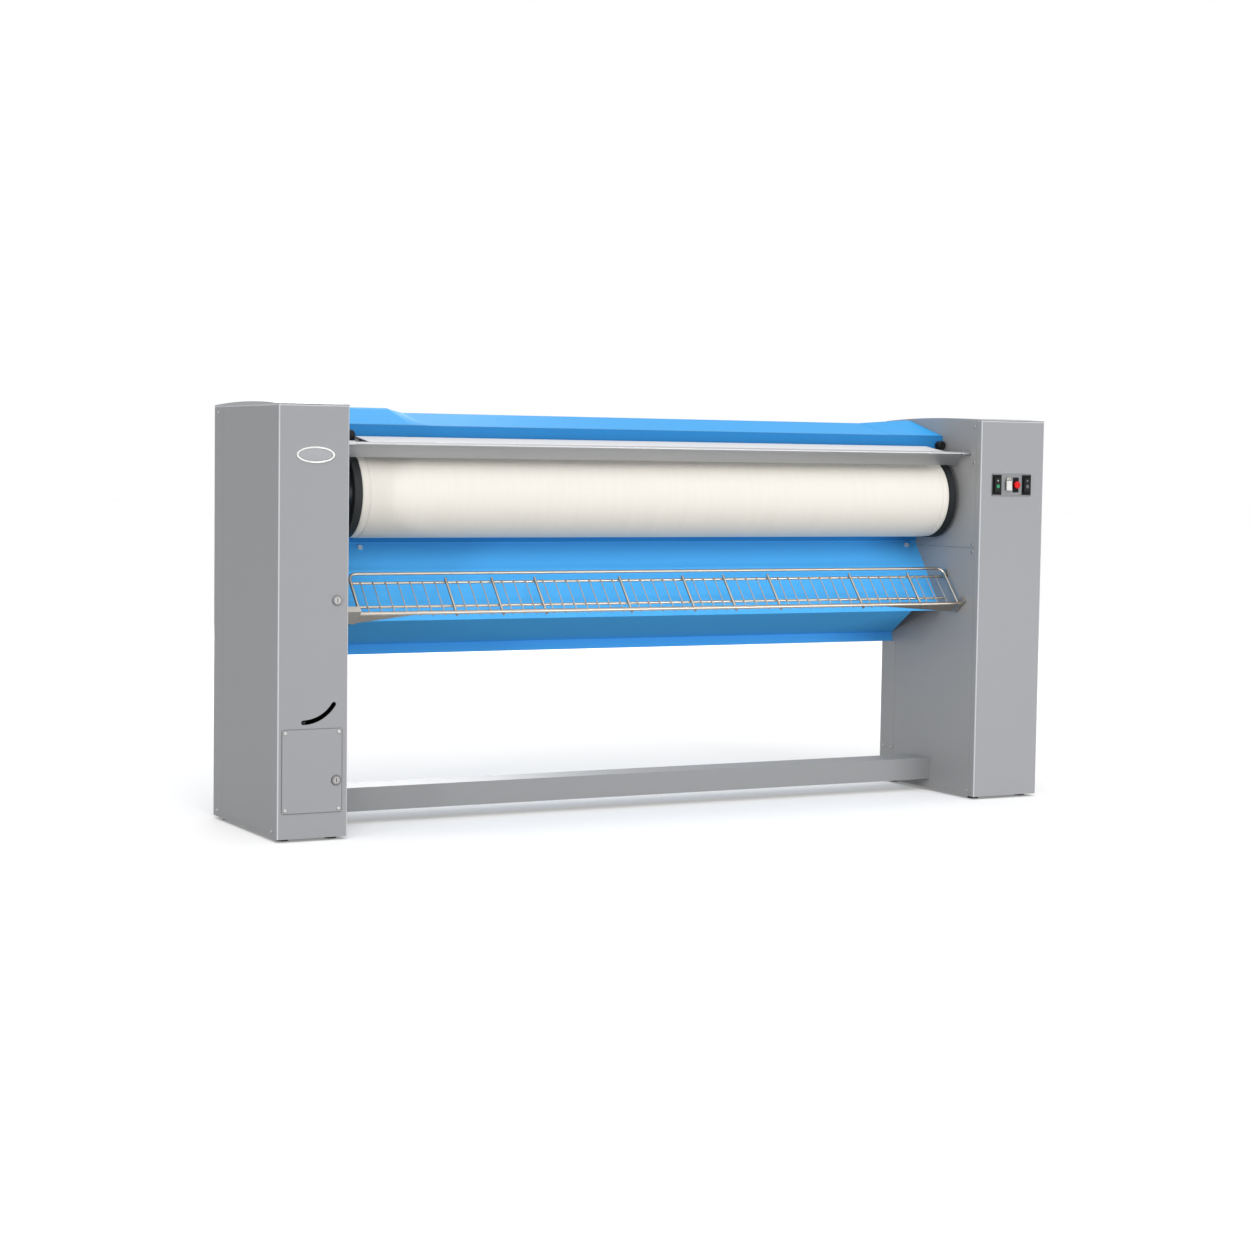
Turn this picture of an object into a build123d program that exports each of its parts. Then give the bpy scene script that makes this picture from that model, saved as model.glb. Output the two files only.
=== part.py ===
from build123d import *
from math import cos, hypot, radians, sin
import os

os.makedirs("parts", exist_ok=True)

# Flatwork ironer, millimetres. The frame's origin lies on the floor under the middle of the machine,
# X runs from the left pedestal to the right one, Y from the working side to the rear, Z is up.
# "Depth" is measured backwards from the front plane of the pedestals.

# ---------------------------------------------------------------- overall
casing_depth = 464.0
left_width = 178.0
right_width = 212.0
casing_height = 1033.0
foot_height = 8.0
sheet = 2.0
seam = 0.8
seat_gap = 0.3
running_gap = 0.05

roller_length = 1740.0
left_end_space = 72.0
right_end_space = 34.0

crown_edge = 2.0
crown_rise = 7.0
proud_reach = 12.0

wall_x = (left_end_space + roller_length + right_end_space) / 2
middle_shift = (left_width - right_width) / 2
front_y = -casing_depth / 2
rear_y = casing_depth / 2
casing_bottom = foot_height
casing_top = foot_height + casing_height

# ---------------------------------------------------------------- pedestal casings
front_return = 21.0
rear_outer_flange = 65.0
rear_inner_flange = 70.0
casing_bend = 3.0
inner_split_z = 693.0

base_plate = 4.0
base_rim = 3.0
base_rim_height = 25.0

frame_clear = 4.0
frame_plate = 6.0
frame_inset = 30.0
frame_drop = 20.0
frame_flange = 8.0
frame_flange_plate = 4.0

foot_radius = 15.0
foot_stem_radius = 5.0
foot_stem_length = 16.0
foot_inset_x = 28.0
foot_inset_y = 40.0

# ---------------------------------------------------------------- stretcher beam
beam_depth = 209.0
beam_thick = 95.0
beam_bottom = 34.0
beam_height = 60.0
beam_wall = 3.0

# ---------------------------------------------------------------- roller
roller_depth = 204.0
roller_z = 829.5
tube_radius = 100.0
tube_wall = 5.0
padding_thick = 11.0
disc_thick = 8.0
disc_recess = 4.0
stub_radius = 20.0
stub_tail = 6.0
end_ring_inner = 92.0
end_ring_rise = 1.5
end_ring_width = 20.0
bearing_flange_radius = 48.0
bearing_flange_thick = 8.0
bearing_hub_radius = 34.0
bearing_hub_length = 24.0
wall_hole_clear = 10.0

# ---------------------------------------------------------------- chain drive, left pedestal
chain_offset = 145.0
chain_width = 8.0
chain_band = 6.0
chain_clear = 0.5
sprocket_width = 5.0
motor_sprocket_radius = 33.0
roller_sprocket_radius = 77.0
motor_teeth = 15
roller_teeth = 35
tooth_depth = 4.0
hub_width = 14.0
hub_wall = 10.0
motor_shaft_tail = 4.0
motor_axis_z = 190.0
motor_shaft_radius = 12.0
gearbox_offset = 30.0
gearbox_width = 80.0
gearbox_depth = 110.0
gearbox_height = 130.0
gearbox_front = 150.0
motor_radius = 55.0
motor_length = 150.0
gearbox_round = 10.0
bracket_plate = 5.0

# ---------------------------------------------------------------- heated chest
chest_gap = 0.5
chest_thick = 14.0
chest_top_angle = 60.0
chest_low_angle = -55.0
chest_end_clear = 1.0
element_radius = 4.0
element_angles = (40.0, 14.0, -12.0, -38.0)
chest_pivot_depth = 230.0
chest_pivot_z = 590.0
chest_swing = 4.0
arm_clear = 4.0
arm_plate = 8.0
arm_eye_radius = 22.0
tail_bar_lap = 4.0
lug_inner = 117.0
lug_outer = 142.0
lug_half_height = 25.0
lug_slot_clear = 4.0
pivot_pin_radius = 8.0
pivot_pin_tail = 24.0
spring_wire_radius = 2.0
spring_pitch = 4.6
spring_turns = 3.5
spring_clear = 0.5
spring_stand_off = 3.0

# ---------------------------------------------------------------- manual release, left pedestal
lever_from_outer = 65.0
lever_z = 378.0
lever_reach = 92.0
lever_swing = 57.0
lever_slot_width = 11.5
lever_peg_radius = 4.0
lever_arm_width = 16.0
lever_arm_plate = 5.0
lever_front = 6.0
lever_boss_rim = 3.0
lever_peg_inset = 0.5
lever_shaft_radius = 7.0
cam_depth = 120.0
cam_thick = 16.0
cam_radius = 24.0
rod_lift = 8.0
rod_radius = 6.0
rod_foot_radius = 15.0
rod_foot_thick = 5.0
rod_play = 0.8
tail_bar_height = 16.0
tail_bar_half_depth = 10.0
guide_block = 24.0
guide_height = 12.0
guide_z = 500.0
lever_block_depth = 60.0
lever_block_thick = 12.0
lever_block_height = 34.0

# ---------------------------------------------------------------- hood
hood_side_gap = 1.0
fascia_bottom_depth = 176.0
fascia_bottom_z = 966.0
fascia_top_depth = 183.0
fascia_top_z = 999.0
crest_depth = 350.0
crest_z = 1033.0
crest_round = 40.0
crest_fall = 4.0
hood_rear_depth = 404.0
hood_rear_z = 1012.0
fascia_return = 10.0
end_cap_rise = 11.0
end_cap_edge = 0.5
left_cap_flat = 238.0
left_cap_slope = 43.0
right_cap_flat = 20.0
right_cap_slope = 145.0
hinge_end_space = 91.0
hinge_depth = 413.0
hinge_z = 1006.0
hinge_pin_radius = 3.0
knuckle_radius = 5.5
knuckle_length = 90.0
knuckle_count = 7
knob_radius = 12.5
knob_thick = 18.0
knob_round = 3.0
left_knob_space = 66.0
right_knob_space = 19.0
knob_z = 973.0
knob_stud_radius = 4.0
stud_clear = 1.0
catch_size = 24.0
catch_thick = 8.0
catch_gap = 3.0

# ---------------------------------------------------------------- rear panel and apron
rear_panel_behind_hinge = 1.0
rear_panel_drop = 8.0
apron_top = (292.0, 724.0)
apron_bend = (306.0, 702.0)
apron_front = (170.0, 513.0)
apron_rear = (416.0, 436.0)
apron_flange = (404.0, 412.0)
apron_relief = 100.0
apron_relief_front = 20.0
left_apron_screw = 149.0
right_apron_screw = 36.0
apron_screw_below = 14.0

# ---------------------------------------------------------------- feed table and finger guard
table_front = (60.0, 956.5)
table_rear = (150.0, 970.0)
table_nose = (154.0, 958.0)
table_left_space = 74.0
table_right_space = 80.0
table_bracket_front = 106.0
table_bracket_rear = 130.0
table_bracket_low = 932.0
table_bracket_height = 10.0
table_bracket_lap = 30.0
bead_depth = 52.0
bead_z = 952.0
bead_radius = 4.0
guard_low = (92.0, 919.0)
guard_hem = 6.0
left_guard_gap = 24.0
right_guard_gap = 20.0
guard_boss_radius = 6.5
guard_boss_width = 9.0
guard_pin_radius = 2.5
guard_pin_lap = 8.0

# ---------------------------------------------------------------- linen rack
rack_low = (72.0, 538.5)
rack_high = (152.0, 631.5)
left_rack_gap = 59.0
right_rack_gap = 15.0
rack_rod_gap = 2.0
rack_low_rod = 5.0
rack_top_rod = 4.0
rack_rail_rod = 3.5
rack_bar_rod = 3.5
rack_wire_rod = 1.5
rack_rail_upper = 104.5
rack_rail_lower = 30.5
rack_corner = 20.0
rack_wire_pitch = 33.2
rack_wire_margin = 21.0
rack_bar_places = (0.147, 0.219, 0.287, 0.425, 0.531, 0.601, 0.679, 0.826, 0.934)
rack_bar_overhang = 8.0
rack_bar_underhang = 4.0
rack_wire_overhang = 2.0
rod_weld = 0.6
left_gusset_length = 160.0
right_gusset_length = 265.0
gusset_back = 30.0
gusset_drop = 24.0
gusset_thick = 1.5
rack_lug_half = 8.0
rack_lug_front = 20.0
rack_lug_rear = 32.0
rack_stud_height = 111.0
rack_stud_radius = 4.0
rack_stud_washer = 11.5
rack_stud_washer_thick = 5.0

# ---------------------------------------------------------------- controls, right pedestal
control_inset = 37.0
control_width = 132.0
control_height = 63.0
control_below_top = 174.0
control_plate = 1.5
control_corner = 3.0
control_margin = 4.0
switch_width = 28.5
switch_height = 54.6
switch_proud = 4.0
switch_body_depth = 14.0
switch_inset = 2.0
switch_side_step = 2.0
switch_end_step = 4.0
switch_floor = 3.0
rocker_width = 20.0
rocker_height = 40.0
rocker_side_clear = 0.6
rocker_end_clear = 1.0
rocker_proud = 3.0
rocker_seat_depth = 5.0
rocker_pin_radius = 1.5
rocker_pin_depth = 2.0
rocker_pin_play = 0.1
start_offset = 54.5
start_width = 17.2
start_height = 26.0
start_drop = 2.0
start_proud = 8.0
start_travel = 3.0
start_stem_step = 2.0
start_stem_clear = 0.5
start_stem_depth = 10.0
start_round = 1.5
stop_offset = 80.0
stop_plate_width = 19.0
stop_plate_height = 41.0
stop_plate_proud = 2.5
stop_head_radius = 10.0
stop_travel = 4.0
stop_round = 2.5
stop_stem_radius = 5.0
stop_sleeve_wall = 3.0
stop_stem_end = 4.0
control_box_front = 45.0
control_box_depth = 150.0
control_box_offset = 45.0
control_box_width = 120.0
control_box_bottom = 600.0
control_box_height = 380.0
box_foot_height = 20.0
box_foot_width = 20.0
box_foot_inset = 15.0
gland_z = 120.0
gland_radius = 14.0
gland_thread_radius = 10.0
gland_bore_radius = 6.0
gland_thread_length = 12.0

# ---------------------------------------------------------------- door furniture, left pedestal
lock_inset = 29.5
upper_lock_z = 577.0
lower_lock_z = 145.0
lock_bezel_radius = 12.0
lock_body_radius = 10.0
lock_plug_radius = 8.0
lock_proud = 4.0
lock_round = 1.0
lock_plug_proud = 0.5
lock_slot_width = 2.0
lock_slot_length = 10.0
lock_slot_depth = 3.0
lock_body_end = 2.0
lock_cam_clear = 2.0
lock_cam_width = 12.0
lock_cam_thick = 3.0
access_inset = 14.0
access_width = 154.0
access_bottom = 68.0
access_height = 203.0
access_plate_thick = 1.5
access_corner = 6.0
access_lap = 20.0
access_screw_inset = 9.0
badge_width = 96.0
badge_height = 39.0
badge_rim = 4.0
badge_proud = 2.5
badge_from_outer = 91.7
badge_below_top = 118.0
screw_head_radius = 4.5
screw_head_height = 2.2
screw_shank_radius = 2.0
screw_length = 5.0
screw_hole_clear = 0.1
screw_edge = 16.0
screw_from_seam = 10.0
screw_above_split = 8.0
screw_below_split = 12.0
screw_above_middle = 59.0
hidden_screw_drop = 30.0
rear_screw_z = 103.0
rear_screw_insets = (20.0, 58.0)


# ---------------------------------------------------------------- small helpers
def at(depth):
    """Y coordinate of a depth behind the pedestals' front plane."""
    return front_y + depth


def out(side, near, far):
    """X range on one side of the machine, measured outwards from the pedestal's inner wall."""
    ends = (side * (wall_x + near), side * (wall_x + far))
    return min(ends), max(ends)


def block(x, y, z):
    """Box between two X, two Y and two Z values."""
    middle = Pos((x[0] + x[1]) / 2, (y[0] + y[1]) / 2, (z[0] + z[1]) / 2)
    return middle * Box(x[1] - x[0], y[1] - y[0], z[1] - z[0])


def rod_x(radius, x, depth, z):
    """Round bar along X."""
    return extrude(Plane.YZ.offset(x[0]) * Pos(at(depth), z) * Circle(radius), x[1] - x[0])


def rod_y(radius, x, depths, z):
    """Round bar along Y, between two depths."""
    return extrude(Plane.XZ.offset(-at(depths[0])) * Pos(x, z) * Circle(radius), depths[0] - depths[1])


def rod_z(radius, x, depth, z):
    """Round bar along Z."""
    return extrude(Plane.XY.offset(z[0]) * Pos(x, at(depth)) * Circle(radius), z[1] - z[0])


def section_x(points, x):
    """Outline of (depth, z) points, extruded along X."""
    outline = Polygon(*[(at(depth), z) for depth, z in points], align=None)
    return extrude(Plane.YZ.offset(x[0]) * outline, x[1] - x[0], dir=(1, 0, 0))


def section_z(points, z):
    """Outline of (x, y) points, extruded along Z."""
    return extrude(Plane.XY.offset(z[0]) * Polygon(*points, align=None), z[1] - z[0], dir=(0, 0, 1))


def folded(points, thick):
    """Closed outline of a folded sheet: the given line and the same line set off by its thickness."""
    steps = [(b[0] - a[0], b[1] - a[1]) for a, b in zip(points, points[1:])]
    normals = [(-dz / hypot(dy, dz), dy / hypot(dy, dz)) for dy, dz in steps]
    inner = []
    for index, point in enumerate(points):
        before = normals[max(index - 1, 0)]
        after = normals[min(index, len(normals) - 1)]
        spread = 1 + before[0] * after[0] + before[1] * after[1]
        inner.append((point[0] + thick * (before[0] + after[0]) / spread,
                      point[1] + thick * (before[1] + after[1]) / spread))
    return points + inner[::-1]


def rod_between(start, end, radius):
    """Round bar between two points in space."""
    axis = Vector(*end) - Vector(*start)
    return extrude(Plane(origin=start, z_dir=axis) * Circle(radius), axis.length)


def save(name, *shapes):
    """Write one sub-part, moved so that the origin lies under the middle of the whole machine."""
    solids = [Pos(middle_shift, 0, 0) * solid for shape in shapes for solid in shape.solids()]
    export_step(solids[0] if len(solids) == 1 else Compound(solids), f"parts/{name}.step")


def front_edge(shape):
    """The round edge of a turned piece that faces the operator."""
    return shape.edges().filter_by(GeomType.CIRCLE).sort_by(Axis.Y)[0]


# ---------------------------------------------------------------- screws
screw_hole = screw_shank_radius + screw_hole_clear
outer_flange_depth = casing_depth - rear_outer_flange / 2
low_screw_z = casing_bottom + screw_edge
high_screw_z = casing_top - screw_edge
middle_screw_z = (inner_split_z + casing_top) / 2 + screw_above_middle
inner_front_depth = front_return + seam + screw_from_seam
inner_rear_depth = casing_depth - rear_inner_flange - seam - screw_from_seam
outer_screws = [(outer_flange_depth, high_screw_z), (outer_flange_depth, low_screw_z),
                (frame_inset + frame_flange, low_screw_z)]
upper_inner_screws = [(inner_front_depth, high_screw_z), (inner_front_depth, middle_screw_z),
                      (inner_front_depth, inner_split_z + screw_above_split),
                      (inner_rear_depth, fascia_bottom_z - hidden_screw_drop),
                      (inner_rear_depth, inner_split_z + screw_above_split)]
lower_inner_screws = [(depth, z) for depth in (inner_front_depth, inner_rear_depth)
                      for z in (low_screw_z, inner_split_z - screw_below_split)]
rear_flange_screws = [(casing_depth - inset, rear_screw_z) for inset in rear_screw_insets]


def side_screw(side, offset, depth, z, outward):
    """Round-head screw across a side sheet; outward is +1 where the head faces away from the machine."""
    face = side * (wall_x + offset)
    turn = side * outward
    head = rod_x(screw_head_radius, sorted((face, face + turn * screw_head_height)), depth, z)
    rim = head.edges().filter_by(GeomType.CIRCLE).sort_by(Axis.X)[-1 if turn > 0 else 0]
    head = fillet(rim, screw_head_height * 0.6)
    shank = rod_x(screw_shank_radius, sorted((face, face - turn * screw_length)), depth, z)
    return head + shank


def front_screw(x, z, proud):
    """Round-head screw in the front face, its head lying on a plate of the given thickness."""
    head = rod_y(screw_head_radius, x, (-proud - screw_head_height, -proud), z)
    head = fillet(front_edge(head), screw_head_height * 0.6)
    return head + rod_y(screw_shank_radius, x, (-proud, screw_length - proud), z)


def drill_side(part, side, offset, spots):
    """Screw holes through a side sheet whose inner face lies at the given offset."""
    for depth, z in spots:
        part -= rod_x(screw_hole, out(side, offset - 1, offset + sheet + 1), depth, z)
    return part


# ---------------------------------------------------------------- pedestals
bases = []
feet = []
casing_screws = []
axle_hole = stub_radius + wall_hole_clear
frame_near = sheet + frame_clear
frame_far = frame_near + frame_plate
arm_near = frame_far + arm_clear
arm_far = arm_near + arm_plate
swing = radians(chest_swing)
lug_back = (roller_z + lug_half_height - chest_pivot_z) * sin(swing)
lug_fall = (roller_depth + lug_outer - chest_pivot_depth) * sin(swing)
slot_depths = (roller_depth + lug_inner - lug_slot_clear,
               roller_depth + lug_outer + lug_back + lug_slot_clear)
slot_z = (roller_z - lug_half_height - lug_fall - lug_slot_clear, roller_z + lug_half_height + lug_slot_clear)
floor_z = casing_bottom + base_plate


def crown(drop, x):
    """Solid under the crowned top, lowered by the given drop."""
    start = (front_y, casing_top + crown_edge - drop)
    end = (rear_y, casing_top + crown_edge - drop)
    arc = ThreePointArc(start, (0, casing_top + crown_edge + crown_rise - drop), end)
    foot = Polyline(end, (rear_y, casing_top), (front_y, casing_top), start)
    return extrude(Plane.YZ.offset(x[0]) * make_face([arc, foot]), x[1] - x[0], dir=(1, 0, 0))


for side, name, width in ((-1, "left", left_width), (1, "right", right_width)):
    inner = side * wall_x
    outer = side * (wall_x + width)

    # folded base tray, standing on four levelling feet
    tray = block(out(side, sheet, width - sheet), (front_y + sheet, rear_y - sheet),
                 (casing_bottom, casing_bottom + base_rim_height))
    tray -= block(out(side, sheet + base_rim, width - sheet - base_rim),
                  (front_y + sheet + base_rim, rear_y - sheet - base_rim), (floor_z, casing_top))
    for near in (foot_inset_x, width - foot_inset_x):
        for depth in (foot_inset_y, casing_depth - foot_inset_y):
            x = side * (wall_x + near)
            tray -= rod_z(foot_stem_radius + screw_hole_clear, x, depth, (0, casing_top))
            pad = rod_z(foot_radius, x, depth, (0, foot_height))
            stem_z = (foot_height, foot_height + foot_stem_length)
            feet.append(pad + rod_z(foot_stem_radius, x, depth, stem_z))
    low_outer = [spot for spot in outer_screws if spot[1] == low_screw_z]
    low_inner = [spot for spot in lower_inner_screws if spot[1] == low_screw_z]
    tray = drill_side(tray, side, width - sheet - base_rim, low_outer)
    tray = drill_side(tray, side, sheet, low_inner)
    bases.append(tray)

    # steel side frame that carries the roller, the chest and the table
    plate_x = out(side, frame_near, frame_far)
    through = out(side, 0, frame_far + 1)
    frame = block(plate_x, (at(frame_inset), rear_y - frame_inset), (floor_z, casing_top - frame_drop))
    for depth in (frame_inset, casing_depth - frame_inset - frame_flange_plate):
        frame += block(out(side, frame_far, frame_far + frame_flange),
                       (at(depth), at(depth + frame_flange_plate)), (floor_z, casing_top - frame_drop))
    frame -= rod_x(stub_radius + wall_hole_clear / 2, through, roller_depth, roller_z)
    frame -= rod_x(pivot_pin_radius, through, chest_pivot_depth, chest_pivot_z)
    frame -= block(through, (at(slot_depths[0]), at(slot_depths[1])), slot_z)
    save(f"{name}_side_frame", frame)

    # front cover: outer side, front and a narrow return on the inner side, folded from one sheet
    seam_y = rear_y - rear_outer_flange - seam
    ring = [(inner, at(front_return)), (inner, front_y), (outer, front_y), (outer, seam_y)]
    hollow = [(outer - side * sheet, seam_y), (outer - side * sheet, front_y + sheet),
              (inner + side * sheet, front_y + sheet), (inner + side * sheet, at(front_return))]
    cover = section_z(ring + hollow, (casing_bottom, casing_top))
    corners = cover.edges().filter_by(Axis.Z).filter_by_position(Axis.Y, front_y - 0.1, front_y + 0.1)
    cover = fillet(corners, casing_bend)
    cover = drill_side(cover, side, width - sheet, outer_screws[2:])

    # rear cover, wrapped round both sides
    wrap = [(inner, rear_y - rear_inner_flange), (inner, rear_y), (outer, rear_y),
            (outer, rear_y - rear_outer_flange), (outer - side * sheet, rear_y - rear_outer_flange),
            (outer - side * sheet, rear_y - sheet), (inner + side * sheet, rear_y - sheet),
            (inner + side * sheet, rear_y - rear_inner_flange)]
    rear_cover = section_z(wrap, (casing_bottom, casing_top))
    corners = rear_cover.edges().filter_by(Axis.Z).filter_by_position(Axis.Y, rear_y - 0.1, rear_y + 0.1)
    rear_cover = fillet(corners, casing_bend)
    rear_cover = drill_side(rear_cover, side, width - sheet, outer_screws[:2])
    rear_cover = drill_side(rear_cover, side, 0, rear_flange_screws)

    # inner panel between the two covers, split at one height on the control side
    sheet_through = out(side, -1, sheet + 1)
    panel = block(out(side, 0, sheet), (at(front_return + seam), rear_y - rear_inner_flange - seam),
                  (casing_bottom, casing_top))
    panel -= rod_x(axle_hole, sheet_through, roller_depth, roller_z)
    panel -= block(sheet_through, (at(slot_depths[0]), at(slot_depths[1])), slot_z)
    panel = drill_side(panel, side, 0, upper_inner_screws + lower_inner_screws)
    if side < 0:
        save("left_inner_panel", panel)
    else:
        above = block(sheet_through, (front_y, rear_y), (inner_split_z, casing_top))
        below = block(sheet_through, (front_y, rear_y), (casing_bottom, inner_split_z - seam))
        save("right_upper_inner_panel", panel & above)
        save("right_lower_inner_panel", panel & below)

    # crowned top cap, hollow underneath
    cap = crown(0, out(side, 0, width)) - crown(sheet / 2, out(side, sheet, width - sheet))
    save(f"{name}_top_cap", cap)

    casing_screws += [side_screw(side, width, depth, z, 1) for depth, z in outer_screws]
    casing_screws += [side_screw(side, 0, depth, z, -1)
                      for depth, z in upper_inner_screws + lower_inner_screws + rear_flange_screws]
    if side < 0:
        left_cover = cover
        save("left_rear_cover", rear_cover)
    else:
        right_cover = cover
        right_rear_cover = rear_cover

save("pedestal_bases", *bases)
save("levelling_feet", *feet)

# rectangular tube between the pedestals
beam_end = (-wall_x, wall_x)
beam = block(beam_end, (at(beam_depth), at(beam_depth + beam_thick)),
             (beam_bottom, beam_bottom + beam_height))
beam -= block(beam_end, (at(beam_depth + beam_wall), at(beam_depth + beam_thick - beam_wall)),
              (beam_bottom + beam_wall, beam_bottom + beam_height - beam_wall))
save("stretcher_beam", beam)

# ---------------------------------------------------------------- left front: locks, plate, badge, slot
lock_x = -(wall_x + lock_inset)
bezels = []
tongue_front = frame_inset + frame_flange_plate + lock_cam_clear
tongue_end = tongue_front + lock_cam_thick
lock_cam_length = lock_inset - frame_far - lock_cam_clear
for name, z in (("upper", upper_lock_z), ("lower", lower_lock_z)):
    left_cover -= rod_y(lock_body_radius, lock_x, (-1, sheet + 1), z)
    bezel = rod_y(lock_bezel_radius, lock_x, (-lock_proud, -access_plate_thick), z)
    bezel = fillet(front_edge(bezel), lock_round)
    bezel += rod_y(lock_body_radius, lock_x, (-access_plate_thick, frame_inset - lock_body_end), z)
    bezel -= rod_y(lock_plug_radius + running_gap, lock_x, (-lock_proud - 1, frame_inset), z)
    bezels.append(bezel)
    plug = rod_y(lock_plug_radius, lock_x, (-lock_proud - lock_plug_proud, tongue_end), z)
    plug -= block((lock_x - lock_slot_width / 2, lock_x + lock_slot_width / 2),
                  (at(-lock_proud - 1), at(-lock_proud + lock_slot_depth)),
                  (z - lock_slot_length / 2, z + lock_slot_length / 2))
    plug += block((lock_x, lock_x + lock_cam_length), (at(tongue_front), at(tongue_end)),
                  (z - lock_cam_width / 2, z + lock_cam_width / 2))
    save(f"{name}_lock_plug", plug)
save("lock_bezels", *bezels)

access_x = (-(wall_x + access_inset + access_width), -(wall_x + access_inset))
access_top = access_bottom + access_height
access_middle = (sum(access_x) / 2, (access_bottom + access_top) / 2)
access_outline = RectangleRounded(access_width, access_height, access_corner)
access = extrude(Plane.XZ.offset(-front_y) * Pos(*access_middle) * access_outline, access_plate_thick)
access -= rod_y(lock_bezel_radius + 1, lock_x, (-access_plate_thick - 1, 1), lower_lock_z)
opening_x = (access_x[0] + access_lap, lock_x - lock_body_radius - access_lap / 2)
left_cover -= block(opening_x, (front_y - 1, front_y + sheet + 1),
                    (access_bottom + access_lap, access_top - access_lap))
for x in (access_x[0] + access_screw_inset, access_x[1] - access_screw_inset):
    for z in (access_bottom + access_screw_inset, access_top - access_screw_inset):
        hole = rod_y(screw_hole, x, (-access_plate_thick - 1, sheet + 1), z)
        access -= hole
        left_cover -= hole
        casing_screws.append(front_screw(x, z, access_plate_thick))
save("access_plate", access)
save("casing_screws", *casing_screws)

left_outer = wall_x + left_width
badge_plane = Plane.XZ.offset(-front_y) * Pos(badge_from_outer - left_outer, casing_top - badge_below_top)
badge = extrude(badge_plane * Ellipse(badge_width / 2, badge_height / 2), badge_proud)
badge_field = Ellipse(badge_width / 2 - badge_rim, badge_height / 2 - badge_rim)
badge -= extrude(badge_plane * badge_field, badge_proud + 1)
save("badge_frame", badge)

lever_x = lever_from_outer - left_outer
slot_arc = CenterArc((0, 0), lever_reach, -90, lever_swing)
slot_plane = Plane.XZ.offset(-front_y + 1) * Pos(lever_x, lever_z)
left_cover -= extrude(slot_plane * SlotArc(slot_arc, lever_slot_width), -(sheet + 2))
save("left_cover", left_cover)

# ---------------------------------------------------------------- roller
roller_x = (left_end_space - wall_x, wall_x - right_end_space)
cover_radius = tube_radius + padding_thick
bearing_seat = frame_far
stub_left = -(wall_x + chain_offset + chain_width + stub_tail)
stub_right = wall_x + bearing_seat + bearing_hub_length + stub_tail
roller = rod_x(tube_radius, roller_x, roller_depth, roller_z)
roller -= rod_x(tube_radius - tube_wall, roller_x, roller_depth, roller_z)
end_rings = []
bearings = []
for side, end, stub in ((-1, roller_x[0], stub_left), (1, roller_x[1], stub_right)):
    disc_outer = end - side * disc_recess
    disc_inner = disc_outer - side * disc_thick
    roller += rod_x(tube_radius - tube_wall, sorted((disc_inner, disc_outer)), roller_depth, roller_z)
    roller += rod_x(stub_radius, sorted((disc_inner, stub)), roller_depth, roller_z)
    ring_x = sorted((end, end + side * end_ring_width))
    ring = rod_x(cover_radius + end_ring_rise, ring_x, roller_depth, roller_z)
    end_rings.append(ring - rod_x(end_ring_inner, ring_x, roller_depth, roller_z))
    hub_x = out(side, bearing_seat, bearing_seat + bearing_hub_length)
    housing = rod_x(bearing_flange_radius, out(side, bearing_seat, bearing_seat + bearing_flange_thick),
                    roller_depth, roller_z)
    housing += rod_x(bearing_hub_radius, hub_x, roller_depth, roller_z)
    bearings.append(housing - rod_x(stub_radius + running_gap, hub_x, roller_depth, roller_z))
save("roller_tube", roller)
save("roller_end_rings", *end_rings)
save("roller_bearings", *bearings)

padding = rod_x(cover_radius, roller_x, roller_depth, roller_z)
padding -= rod_x(tube_radius, roller_x, roller_depth, roller_z)
save("roller_padding", padding)


# ---------------------------------------------------------------- chain drive
def sprocket(radius, teeth, z, bore):
    """Toothed disc and hub round a shaft on the chain's plane."""
    middle = chain_offset + chain_width / 2
    rim_x = out(-1, middle - sprocket_width / 2, middle + sprocket_width / 2)
    disc = rod_x(radius, rim_x, roller_depth, z)
    valley = tooth_depth / 2
    for index in range(teeth):
        turn = radians(360 * index / teeth)
        disc -= rod_x(valley, rim_x, roller_depth + radius * cos(turn), z + radius * sin(turn))
    disc += rod_x(bore + hub_wall, out(-1, middle - hub_width / 2, middle + hub_width / 2), roller_depth, z)
    return disc


roller_sprocket = sprocket(roller_sprocket_radius, roller_teeth, roller_z, stub_radius)
roller_sprocket -= rod_x(stub_radius, out(-1, 0, left_width), roller_depth, roller_z)
save("roller_sprocket", roller_sprocket)

gearbox_x = out(-1, gearbox_offset, gearbox_offset + gearbox_width)
gearbox_middle = gearbox_offset + gearbox_width / 2
motor_sprocket = sprocket(motor_sprocket_radius, motor_teeth, motor_axis_z, motor_shaft_radius)
shaft_x = out(-1, gearbox_middle, chain_offset + chain_width + motor_shaft_tail)
motor_sprocket += rod_x(motor_shaft_radius, shaft_x, roller_depth, motor_axis_z)
save("motor_sprocket", motor_sprocket)

gearbox_z = (motor_axis_z - gearbox_height / 2, motor_axis_z + gearbox_height / 2)
gearbox_y = (at(gearbox_front), at(gearbox_front + gearbox_depth))
gearmotor = block(gearbox_x, gearbox_y, gearbox_z)
gearmotor = fillet(gearmotor.edges().filter_by(Axis.X), gearbox_round)
motor_depths = (gearbox_front + gearbox_depth, gearbox_front + gearbox_depth + motor_length)
gearmotor += rod_y(motor_radius, sum(gearbox_x) / 2, motor_depths, motor_axis_z)
shaft_hole = (gearbox_x[0] - 1, -(wall_x + gearbox_middle) + 1)
gearmotor -= rod_x(motor_shaft_radius + running_gap, shaft_hole, roller_depth, motor_axis_z)
save("gearmotor", gearmotor)

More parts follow.
